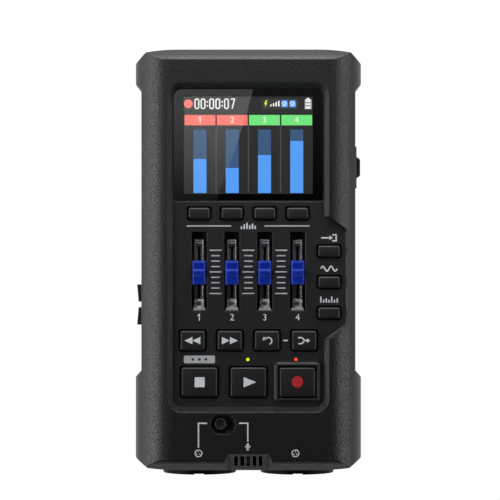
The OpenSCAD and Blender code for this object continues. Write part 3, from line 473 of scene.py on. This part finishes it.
# Painted shade: black for the line that stands in for the shadow round the window.
GAP_SHADE = ink_look("gap_shade_black", "#040404", "#080808")
GREEN_LAMP = lamp_look("lamp_green", "#c8e632", 0.9)
RED_LAMP = lamp_look("lamp_red", "#ff4a30", 0.85)
INK = ink_look("ink_grey", "#c7ccd0", "#d3d8dc")
PLATE_INK = ink_look("ink_plate", "#a3a8ab", "#b0b5b8")
RED_INK = ink_look("ink_red", "#a31d23", "#b32329")
DARK_INK = ink_look("ink_dark", "#232425", "#2d2e2f")

NODE_LOOKS = {
    FRONT: ["front_case"],
    CASE: ["rear_case", "battery_door"],
    PANEL: ["control_panel"],
    TRIM: ["card_cover"],
    GRILLE: ["mic_grille"],
    KEY: FACE_KEYS + ["power_plate", "power_knob", "volume_up_key", "volume_down_key"],
    KNOB: ["source_knob"],
    JACK: ["input_jack_a", "input_jack_b", "phones_jack"],
    RUBBER: ["rubber_feet"],
    INNER: ["fader_bodies", "board_link", "speaker", "display_module"],
    CAP: FADER_CAPS,
    BOARD: ["jack_board", "front_board", "main_board"],
    CELL: ["battery_cells"],
    COVER_STEEL: ["fader_covers"],
    STEEL: FADER_LEVERS + ["source_switch", "power_switch", "volume_switches", "key_switches", "mic_capsule",
                           "charge_port", "card_socket", "battery_contacts", "case_screws", "board_screws"],
    BRASS: ["jack_contacts"],
    GLASS: ["display_window"],
    GREEN_LAMP: ["play_lamp"],
    RED_LAMP: ["record_lamp"],
}


# Rounded edges on the frame's own pieces

def smooth_group(angle):
    """Node group that shades smooth except across edges sharper than the angle, in degrees."""
    group = bpy.data.node_groups.new("smooth_by_angle", "GeometryNodeTree")
    group.interface.new_socket("Geometry", in_out="INPUT", socket_type="NodeSocketGeometry")
    group.interface.new_socket("Geometry", in_out="OUTPUT", socket_type="NodeSocketGeometry")
    start = group.nodes.new("NodeGroupInput")
    end = group.nodes.new("NodeGroupOutput")
    faces = group.nodes.new("GeometryNodeSetShadeSmooth")
    sharp = group.nodes.new("GeometryNodeSetShadeSmooth")
    sharp.domain = "EDGE"
    sharp.inputs["Shade Smooth"].default_value = False
    turn = group.nodes.new("GeometryNodeInputMeshEdgeAngle")
    over = group.nodes.new("FunctionNodeCompare")
    over.operation = "GREATER_THAN"
    over.inputs["B"].default_value = math.radians(angle)
    group.links.new(start.outputs[0], faces.inputs["Geometry"])
    group.links.new(faces.outputs["Geometry"], sharp.inputs["Geometry"])
    group.links.new(turn.outputs["Unsigned Angle"], over.inputs["A"])
    group.links.new(over.outputs["Result"], sharp.inputs["Selection"])
    group.links.new(sharp.outputs["Geometry"], end.inputs[0])
    return group


SMOOTH = smooth_group(30)
FLAT_LIMIT, EDGE_LIMIT, EDGE_STEPS = 0.4, 28, 2
WELD_REACH = 0.001


def soften(obj, width):
    """Joins the mesh, merges its flat faces and rounds its edges by a width in mm."""
    weld = obj.modifiers.new("weld", "WELD")
    weld.merge_threshold = WELD_REACH * MM
    flat = obj.modifiers.new("flat", "DECIMATE")
    flat.decimate_type = "DISSOLVE"
    flat.angle_limit = math.radians(FLAT_LIMIT)
    bevel = obj.modifiers.new("edge", "BEVEL")
    bevel.width = width * MM
    bevel.segments = EDGE_STEPS
    bevel.limit_method = "ANGLE"
    bevel.angle_limit = math.radians(EDGE_LIMIT)
    bevel.miter_outer = "MITER_ARC"
    smooth = obj.modifiers.new("smooth", "NODES")
    smooth.node_group = SMOOTH


ROUNDED = {
    0.12: FACE_KEYS,
    0.16: FADER_CAPS,
}


def dress_nodes():
    """Gives every node of the frame its material and its edges."""
    widths = {name: width for width, names in ROUNDED.items() for name in names}
    for look, names in NODE_LOOKS.items():
        for name in names:
            obj = nodes[name]
            obj.data.materials.clear()
            obj.data.materials.append(look)
            if name in widths:
                soften(obj, widths[name])


# Outlines of printed and lit patches, in mm: each is a list of faces, each face a list of points

MITRE_LIMIT = 0.4
JOIN_REACH = 0.0005
DIGIT_SHARE = 0.7


def box(x, y, w, h):
    """Box round its middle."""
    return [[(x - w / 2, y - h / 2), (x + w / 2, y - h / 2), (x + w / 2, y + h / 2), (x - w / 2, y + h / 2)]]


def arc(x, y, r, start, end, steps):
    """Points along an arc, with its angles in degrees."""
    turns = [math.radians(start + (end - start) * i / steps) for i in range(steps + 1)]
    return [(x + r * math.cos(a), y + r * math.sin(a)) for a in turns]


def disc(x, y, r, steps=32):
    """Filled circle."""
    return [arc(x, y, r, 0, 360, steps)[:-1]]


def rounded_box(x, y, w, h, r, steps=6):
    """Box round its middle, with round corners."""
    corners = [(1, 1, 0), (-1, 1, 90), (-1, -1, 180), (1, -1, 270)]
    points = []
    for sx, sy, turn in corners:
        points += arc(x + sx * (w / 2 - r), y + sy * (h / 2 - r), r, turn, turn + 90, steps)
    return [points]


def triangle(x, y, w, h):
    """Triangle round its middle that points to the right."""
    return [[(x - w / 2, y - h / 2), (x + w / 2, y), (x - w / 2, y + h / 2)]]


def stroke(points, width, closed=False):
    """Ribbon of quads along a line of points, mitred at its turns."""
    count = len(points)
    left, right = [], []
    for i, point in enumerate(points):
        before = points[i - 1] if i or closed else point
        after = points[(i + 1) % count] if i < count - 1 or closed else point
        first = Vector((point[0] - before[0], point[1] - before[1])).normalized()
        second = Vector((after[0] - point[0], after[1] - point[1])).normalized()
        along = (first + second).normalized()
        side = Vector((-along.y, along.x))
        true = first if first.length else second
        reach = width / 2 / max(MITRE_LIMIT, along.dot(true))
        left.append((point[0] + side.x * reach, point[1] + side.y * reach))
        right.append((point[0] - side.x * reach, point[1] - side.y * reach))
    last = count if closed else count - 1
    return [[right[i], right[(i + 1) % count], left[(i + 1) % count], left[i]] for i in range(last)]


def ring(x, y, r, width, steps=32):
    """Circle drawn as a line."""
    return stroke(arc(x, y, r, 0, 360, steps)[:-1], width, closed=True)


def moved(faces, x, y):
    """The same faces, moved in plan."""
    return [[(px + x, py + y) for px, py in face] for face in faces]


def patch(name, faces, z, body, look, height=PRINT_T):
    """Thin closed piece that stands on a surface at height z and rides on a body."""
    mesh = bpy.data.meshes.new(name)
    shape = bmesh.new()
    for face in faces:
        shape.faces.new([shape.verts.new((x * MM, y * MM, z * MM)) for x, y in face])
    bmesh.ops.remove_doubles(shape, verts=shape.verts, dist=JOIN_REACH * MM)
    raised = bmesh.ops.extrude_face_region(shape, geom=shape.faces[:])
    top = [v for v in raised["geom"] if isinstance(v, bmesh.types.BMVert)]
    bmesh.ops.translate(shape, verts=top, vec=(0, 0, height * MM))
    bmesh.ops.recalc_face_normals(shape, faces=shape.faces[:])
    shape.to_mesh(mesh)
    shape.free()
    mesh.materials.append(look)
    piece = bpy.data.objects.new(name, mesh)
    bpy.context.scene.collection.objects.link(piece)
    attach(piece, body)
    return piece


def number(name, text, x, y, z, height, body, look):
    """Plain digit printed at a place: a 1 as two strokes, any other from the font."""
    if text == "1":
        stem_x, flag_x, flag_y = x + 0.04 * height, x - 0.24 * height, y + 0.26 * height
        line = [(flag_x, flag_y), (stem_x, y + height / 2), (stem_x, y - height / 2)]
        return patch(name, stroke(line, 0.15 * height), z, body, look)
    curve = bpy.data.curves.new(name, "FONT")
    curve.body = text
    curve.size = height * MM / DIGIT_SHARE
    curve.extrude = PRINT_T / 2 * MM
    curve.align_x = "CENTER"
    curve.align_y = "CENTER"
    curve.materials.append(look)
    piece = bpy.data.objects.new(name, curve)
    piece.location = (x * MM, y * MM, (z + PRINT_T / 2) * MM)
    bpy.context.scene.collection.objects.link(piece)
    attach(piece, body)
    return piece


# Marks on the keys and the panel

MARK_LINE = 0.5


def key_marks():
    """Transport symbols and plain pictograms on the keys."""
    double = triangle(-1.42, 0, 2.9, 2.7) + triangle(1.48, 0, 2.9, 2.7)
    back = [[(-px, py) for px, py in reversed(face)] for face in double]
    turn = stroke(arc(0.5, -0.1, 1.25, -70, 150, 14), MARK_LINE) + [[(-1.75, 0.0), (0.1, 0.55), (-1.2, 1.5)]]
    merge = (stroke([(-2.2, 1.1), (-0.9, 1.1), (0.2, 0), (1.0, 0)], MARK_LINE)
             + stroke([(-2.2, -1.1), (-0.9, -1.1), (-0.1, -0.3)], MARK_LINE) + triangle(1.6, 0, 1.3, 1.7))
    marks = {
        "rewind_key": (back, INK),
        "forward_key": (double, INK),
        "undo_key": (turn, INK),
        "bounce_key": (merge, INK),
        "stop_key": (box(0.1, 0, 3.7, 3.7), INK),
        "play_key": (triangle(0.5, 0, 4.5, 3.8), INK),
        "record_key": (disc(0, 0.15, 2.1, 48), RED_INK),
    }
    for key, (faces, look) in marks.items():
        x, y = middle(key)
        patch(key.replace("key", "mark"), moved(faces, x, y), KEY_TOP_Z, key, look)


def fader_scales():
    """Nine lines between each two faders, longer at the ends and the middle."""
    pitch, long, short, thick = 1.976, 4.4, 3.15, 0.46
    scale_y = MID_Y - 4.4
    caps = [middle(cap) for cap in FADER_CAPS]
    for i in range(3):
        x = (caps[i][0] + caps[i + 1][0]) / 2
        faces = []
        for k in range(-4, 5):
            faces += box(x, scale_y + k * pitch, long if k % 4 == 0 else short, thick)
        patch("fader_scale_%d" % (i + 1), faces, PANEL_Z, ROOT, PLATE_INK)


def panel_marks():
    """Rules, track numbers, the dash and the plain pictograms round the keys."""
    rule_y, rule_t = MID_Y + 12.4, 0.48
    number_y, number_h = MID_Y - 21.1, 2.4
    rules = box(-14.4, rule_y, 16.4, rule_t) + box(14.15, rule_y, 16.5, rule_t)
    patch("track_rules", rules, PANEL_Z, ROOT, PLATE_INK)
    levels = []
    for i, tall in enumerate((1.0, 1.7, 2.3, 1.4, 2.0, 1.2)):
        levels += box(-2.5 + i, rule_y - 1.15 + tall / 2, MARK_LINE, tall)
    patch("track_mark", levels, PANEL_Z, ROOT, INK)
    for i, cap in enumerate(FADER_CAPS):
        number("track_number_%d" % (i + 1), str(i + 1), middle(cap)[0], number_y, PANEL_Z, number_h,
               ROOT, INK)
    dash_x = (middle("undo_key")[0] + middle("bounce_key")[0]) / 2
    patch("key_dash", box(dash_x, middle("undo_key")[1], 1.8, MARK_LINE), PANEL_Z, ROOT, INK)
    side_marks()
    option_x, option_y = -17.9, MID_Y - 36.4
    patch("option_plate", rounded_box(option_x, option_y, 11.4, 2.8, 0.5), PANEL_Z, ROOT, PLATE_INK)
    dots = []
    for i in (-1, 0, 1):
        dots += disc(option_x + 2.4 * i, option_y, 0.5, 20)
    patch("option_dots", dots, PANEL_Z + PRINT_T, ROOT, DARK_INK)


def side_marks():
    """Pictograms over the three side keys: an arrow into a bracket, a wave and beats."""
    lift = 4.9
    arrow = (stroke([(-2.9, 0), (0.3, 0)], MARK_LINE) + triangle(0.8, 0, 1.3, 1.8)
             + stroke([(1.2, 1.1), (2.6, 1.1), (2.6, -1.1), (1.2, -1.1)], MARK_LINE))
    wave = stroke([(x / 6 - 3, 0.9 * math.sin(x / 6 * 2.1)) for x in range(37)], MARK_LINE)
    beats = []
    for i, tall in enumerate((2.2, 1.1, 1.6, 1.1, 2.2, 1.1, 1.6)):
        beats += box(-3 + i, tall / 2 - 1.1, MARK_LINE, tall)
    for key, faces in zip(SIDE_KEYS, (arrow, wave, beats)):
        x, y = middle(key)
        patch(key.replace("key", "mark"), moved(faces, x, y + lift), PANEL_Z, ROOT, INK)


def face_marks():
    """Lines from the source switch to its two sources, with plain pictograms of them."""
    line_y, socket_y, mic_y = MID_Y - 59.6, MID_Y - 70.6, MID_Y - 68.2
    left_x, mic_x, right_x = -18.2, -0.2, 17.2
    left = stroke([(-15.0, line_y), (left_x, line_y), (left_x, line_y - 8.9)], MARK_LINE)
    right = stroke([(-3.4, line_y), (mic_x, line_y), (mic_x, line_y - 6.7)], MARK_LINE)
    patch("source_lines", left + right, FACE_Z, ROOT, INK)
    socket = ring(0, 0, 1.25, 0.35)
    for angle in (90, 210, 330):
        x, y = arc(0, 0, 0.6, angle, angle, 1)[0]
        socket += disc(x, y, 0.22, 12)
    patch("socket_mark_a", moved(socket, left_x, socket_y), FACE_Z, ROOT, INK)
    patch("socket_mark_b", moved(socket, right_x, socket_y), FACE_Z, ROOT, INK)
    capsule = rounded_box(0, 0.55, 0.9, 1.5, 0.44)
    cradle = stroke(arc(0, 0.35, 0.85, 180, 360, 14), 0.28)
    cradle += box(0, -0.85, 0.28, 0.45) + box(0, -1.15, 1.1, 0.26)
    patch("mic_mark", moved(capsule + cradle, mic_x, mic_y), FACE_Z, ROOT, INK)


# Picture on the display

SCREEN_X, SCREEN_Y = middle("display_module")
SCREEN_W, SCREEN_H = 47.2, 35.7
COLUMN = 11.82
STATUS_Y = 15.2
LAYER = 0.02
SCREEN_COLOURS = {
    "dark": "#272827", "grey": "#3a3b3a", "rule": "#4c4d4c", "white": "#f4f6f4", "red": "#ff7a6c",
    "green": "#72ea7d", "deep": "#39597f", "blue": "#56a0fc", "yellow": "#f2f03c",
}
SCREEN = {name: screen_look("screen_" + name, code) for name, code in SCREEN_COLOURS.items()}


def lit(name, faces, layer, shade):
    """Lit patch on the display, in one of the thin layers that lie on each other."""
    placed = moved(faces, SCREEN_X, SCREEN_Y)
    patch(name, placed, SCREEN_Z + layer * LAYER, ROOT, SCREEN[shade], height=LAYER)


def timer_digit(text, x, y, w, h, line):
    """One sign of the timer as strokes: a colon, a 7 or else a 0."""
    a, b = w / 2, h / 2
    corner, foot = a * 0.9, a * 0.25
    dot_rise, dot_r = b * 0.42, line * 0.6
    if text == ":":
        return disc(x, y + dot_rise, dot_r, 12) + disc(x, y - dot_rise, dot_r, 12)
    if text == "7":
        return stroke([(x - a, y + b), (x + a, y + b), (x - foot, y - b)], line)
    return stroke(rounded_box(x, y, w, h, corner)[0], line, closed=True)


def track_columns():
    """Numbered head, level bar and rules of each track."""
    head_y, head_h, head_w = 9.2, 3.78, 11.25
    bar_w, bar_h, bar_low = 4.76, 23.27, -17.5
    digit_h, rule_t = 2.2, 0.4
    heads = ("red", "red", "green", "green")
    levels = (0.535, 0.393, 0.597, 0.819)
    for i in range(4):
        x = (i - 1.5) * COLUMN
        lit("track_head_%d" % (i + 1), box(x, head_y, head_w, head_h), 1, heads[i])
        number("head_number_%d" % (i + 1), str(i + 1), SCREEN_X + x, SCREEN_Y + head_y,
               SCREEN_Z + 2 * LAYER, digit_h, ROOT, SCREEN["white"])
        lit("bar_back_%d" % (i + 1), box(x, bar_low + bar_h / 2, bar_w, bar_h), 1, "deep")
        level = bar_h * levels[i]
        lit("bar_level_%d" % (i + 1), box(x, bar_low + level / 2, bar_w, level), 2, "blue")
    rules = []
    for i in (-1, 0, 1):
        rules += box(i * COLUMN, (bar_low + head_y) / 2 - 1.0, rule_t, head_y - bar_low - 2.2)
    lit("column_rules", rules, 1, "rule")


def timer():
    """Record dot and the time beside it."""
    digit_w, digit_h, line = 1.36, 3.5, 0.5
    digit_step, colon_step = 2.26, 0.9
    lit("record_dot", disc(-22.0, STATUS_Y, 1.62), 1, "red")
    digits = []
    x = -20.0
    for text in "00:00:07":
        step = colon_step if text == ":" else digit_step
        digits += timer_digit(text, x + step / 2, STATUS_Y, digit_w, digit_h, line)
        x += step
    lit("timer", digits, 1, "white")


def status_icons():
    """Plate with a bolt, steps and two ringed squares."""
    lit("status_plate", rounded_box(11.5, STATUS_Y - 0.1, 13.1, 3.7, 0.4), 1, "grey")
    bolt = [[(6.35, 1.25), (5.75, -0.15), (6.35, -0.15), (6.0, -1.25), (7.0, 0.3), (6.45, 0.3), (7.0, 1.25)]]
    lit("status_bolt", moved(bolt, 0, STATUS_Y), 2, "yellow")
    steps = []
    for i in range(4):
        steps += box(8.3 + i * 0.95, STATUS_Y - 0.95 + (0.35 + 0.22 * i), 0.55, 0.7 + 0.44 * i)
    lit("status_steps", steps, 2, "white")
    squares, rings = [], []
    for x in (13.25, 16.2):
        squares += rounded_box(x, STATUS_Y, 2.4, 2.55, 0.5)
        rings += ring(x, STATUS_Y, 0.62, 0.34, 20)
    lit("status_squares", squares, 2, "blue")
    lit("status_rings", rings, 3, "white")


def battery_mark():
    """Upright cell with three full parts."""
    cell_x = 21.9
    cell = stroke([(-1.05, -1.8), (1.05, -1.8), (1.05, 1.5), (-1.05, 1.5)], 0.22, closed=True)
    cell += box(0, 1.85, 1.1, 0.5)
    for i in range(3):
        cell += box(0, -1.24 + i * 1.09, 1.6, 0.8)
    lit("battery_mark", moved(cell, cell_x, STATUS_Y), 1, "white")


def screen():
    """Whole picture on the display."""
    lit("screen_base", box(0, 0, SCREEN_W, SCREEN_H), 0, "dark")
    track_columns()
    timer()
    status_icons()
    battery_mark()


def window_mask():
    """Black border on the window, open over the lit area."""
    inset, margin = 0.1, 0.1
    x, y = middle("display_window")
    wide, tall = WINDOW_HIGH.x - WINDOW_LOW.x - inset, WINDOW_HIGH.y - WINDOW_LOW.y - inset
    outer = box(x, y, wide, tall)[0]
    inner = box(x, SCREEN_Y, SCREEN_W + margin, SCREEN_H + margin)[0]
    faces = [[outer[i], outer[(i + 1) % 4], inner[(i + 1) % 4], inner[i]] for i in range(4)]
    return patch("window_mask", faces, WINDOW_HIGH.z, ROOT, MASK)


def window_gap_shade():
    """Painted shade: a dark line on the window along the rim, in place of the shadow in the gap between the
    window and the rim.
    """
    wide, top_r, low_r, inset, width = 27.7, 3.3, 0.6, 0.2, 0.42
    top, low = MID_Y + 62.8, WINDOW_LOW.y
    line = []
    for sx, y, r, turn in ((1, top - top_r, top_r, 0), (-1, top - top_r, top_r, 90),
                           (-1, low + low_r, low_r, 180), (1, low + low_r, low_r, 270)):
        line += arc(sx * (wide - r), y, r - inset, turn, turn + 90, 8)
    gap_shade_line = stroke(line, width, closed=True)
    patch("window_gap_shade", gap_shade_line, WINDOW_HIGH.z + PRINT_T, ROOT, GAP_SHADE)


# Studio

VIEW_HEIGHT = 1024.0
VIEW_X, VIEW_Y = 0.6, MID_Y + 3.6
LENS, SENSOR = 192.6, 36


def camera():
    """Camera straight above the face."""
    data = bpy.data.cameras.new("camera")
    data.lens = LENS
    data.sensor_width = SENSOR
    data.clip_start, data.clip_end = 0.05, 20
    cam = bpy.data.objects.new("camera", data)
    cam.location = (VIEW_X * MM, VIEW_Y * MM, VIEW_HEIGHT * MM)
    bpy.context.scene.collection.objects.link(cam)
    bpy.context.scene.camera = cam


def bare_look(name):
    """Material without any nodes yet."""
    look = bpy.data.materials.new(name)
    look.use_nodes = True
    look.node_tree.nodes.clear()
    return look


def blend_shaders(look, factor, first, second):
    """Shader that goes from first to second."""
    node = add(look, "ShaderNodeMixShader")
    join(look, factor, node.inputs["Fac"])
    join(look, first, node.inputs[1])
    join(look, second, node.inputs[2])
    return node.outputs["Shader"]


def shown_rays(look):
    """1 for rays that show the background: from the camera, off gloss and through glass."""
    path = add(look, "ShaderNodeLightPath")
    total = path.outputs["Is Camera Ray"]
    for name in ("Is Glossy Ray", "Is Transmission Ray"):
        total = maths(look, "MAXIMUM", total, path.outputs[name])
    return total


def sheet(name, corners, height, look):
    """Flat piece of the studio through four corners, in metres."""
    mesh = bpy.data.meshes.new(name)
    mesh.from_pydata([(x, y, height) for x, y in corners], [], [(0, 1, 2, 3)])
    mesh.materials.append(look)
    piece = bpy.data.objects.new(name, mesh)
    bpy.context.scene.collection.objects.link(piece)
    return piece


def floor():
    """Pale floor that shows white but keeps a soft shadow, and that is clear from below."""
    size, glow, strength, drop = 3.0, 0.9, 1.08, 0.0002
    painted_light = (0.86, 0.86, 0.86, 1)
    look = bare_look("floor_white")
    diffuse = add(look, "ShaderNodeBsdfDiffuse", {"Color": painted_light}).outputs["BSDF"]
    light = add(look, "ShaderNodeEmission", {"Strength": strength}).outputs["Emission"]
    clear = add(look, "ShaderNodeBsdfTransparent").outputs["BSDF"]
    below = add(look, "ShaderNodeNewGeometry").outputs["Backfacing"]
    share = maths(look, "MULTIPLY", shown_rays(look), glow)
    above = blend_shaders(look, share, diffuse, light)
    out = add(look, "ShaderNodeOutputMaterial")
    join(look, blend_shaders(look, below, above, clear), out.inputs["Surface"])
    plane = sheet("floor", [(-size, -size), (size, -size), (size, size), (-size, size)], -drop, look)


def world():
    """Dim grey room with a white sweep low down; the camera sees white all round."""
    sweep = 0.06
    dim, full = (0.012, 0.012, 0.0122, 1), (1, 1, 1, 1)
    room = bpy.data.worlds.new("room")
    room.use_nodes = True
    room.node_tree.nodes.clear()
    grey = add(room, "ShaderNodeBackground", {"Color": dim}).outputs["Background"]
    white = add(room, "ShaderNodeBackground", {"Color": full}).outputs["Background"]
    height = axes(room, add(room, "ShaderNodeTexCoord").outputs["Generated"])["Z"]
    low = maths(room, "LESS_THAN", height, sweep)
    shown = maths(room, "MULTIPLY", shown_rays(room), low)
    seen = add(room, "ShaderNodeLightPath").outputs["Is Camera Ray"]
    bright = maths(room, "MAXIMUM", seen, shown)
    out = add(room, "ShaderNodeOutputWorld")
    join(room, blend_shaders(room, bright, grey, white), out.inputs["Surface"])
    bpy.context.scene.world = room


def left_out(name, pieces):
    """Collection that leaves some pieces out of what a lamp does."""
    group = bpy.data.collections.new(name)
    for piece in pieces:
        group.objects.link(piece)
    for item in group.collection_objects:
        item.light_linking.link_state = "EXCLUDE"
    return group


def softbox(name, place, aim, size, power, spares=(), passes=()):
    """Rectangular lamp in metres that faces a point, spares some nodes and isn't shaded by others."""
    data = bpy.data.lights.new(name, "AREA")
    data.shape = "RECTANGLE"
    data.size, data.size_y = size
    data.energy = power
    lamp = bpy.data.objects.new(name, data)
    lamp.location = place
    lamp.rotation_euler = (Vector(aim) - Vector(place)).to_track_quat("-Z", "Y").to_euler()
    lamp.visible_camera = False
    bpy.context.scene.collection.objects.link(lamp)
    unlit = WINDOW_PIECES + [nodes[n] for n in spares]
    lamp.light_linking.receiver_collection = left_out(name + "_spares", unlit)
    if passes:
        lamp.light_linking.blocker_collection = left_out(name + "_passes", [nodes[n] for n in passes])


def lights():
    """Lamps beyond the display end, one broad and one close, and softer ones round the other sides."""
    face = (0, 0, 0.04)
    softbox("top_lamp", (0, 0.22, 0.17), (0, 0.04, 0.045), (0.24, 0.1), 0.47)
    softbox("bevel_lamp", (0, 0.135, 0.062), (0, 0.07, 0.045), (0.16, 0.03), 0.06)
    softbox("left_lamp", (-0.46, 0, 0.35), face, (0.6, 0.12), 1.68, passes=FADER_CAPS)
    softbox("left_strip", (-0.5, 0, 0.14), face, (0.6, 0.14), 0.67, spares=FACE_KEYS, passes=FADER_CAPS)
    softbox("right_lamp", (0.48, 0, 0.31), face, (0.6, 0.12), 1.28, spares=["fader_covers"],
            passes=FADER_CAPS)
    softbox("low_lamp", (0, -0.7, 0.12), (0, 0, 0.03), (0.6, 0.2), 0.15)
    softbox("under_lamp", (0.15, 0.25, -0.7), (0, 0, 0), (0.7, 0.5), 3.0)


def glare_card():
    """Card over the display end, pale to the left of a bent line; only reflections show it."""
    height, half, low, high = 1.3, 0.1, 0.02, 0.165
    across, along, slope, bend = -0.0106, 0.0926, 0.336, -0.8
    fade_low, fade_high, dim, bright, right_share = 0.045, 0.125, 0.3, 2.2, 0.15
    look = bare_look("card_white")
    place = axes(look, object_place(look))
    reach = maths(look, "SUBTRACT", place["Y"], along)
    turn = maths(look, "MULTIPLY_ADD", reach, bend, slope)
    line = maths(look, "MULTIPLY_ADD", turn, reach, across)
    left = maths(look, "LESS_THAN", place["X"], line)
    fade = span(look, place["Y"], fade_low, fade_high, dim, bright)
    strength = maths(look, "MULTIPLY", fade, span(look, left, 0.0, 1.0, right_share, 1.0))
    light = add(look, "ShaderNodeEmission")
    out = add(look, "ShaderNodeOutputMaterial")
    join(look, strength, light.inputs["Strength"])
    join(look, light.outputs["Emission"], out.inputs["Surface"])
    card = sheet("glare_card", [(-half, high), (half, high), (half, low), (-half, low)], height, look)
    card.visible_camera = False
    card.visible_diffuse = False
    card.visible_shadow = False


bpy.context.scene.view_settings.view_transform = "Standard"
dress_nodes()
key_marks()
fader_scales()
panel_marks()
face_marks()
screen()
WINDOW_PIECES = [nodes["display_window"], window_mask()]
window_gap_shade()
camera()
world()
floor()
lights()
glare_card()
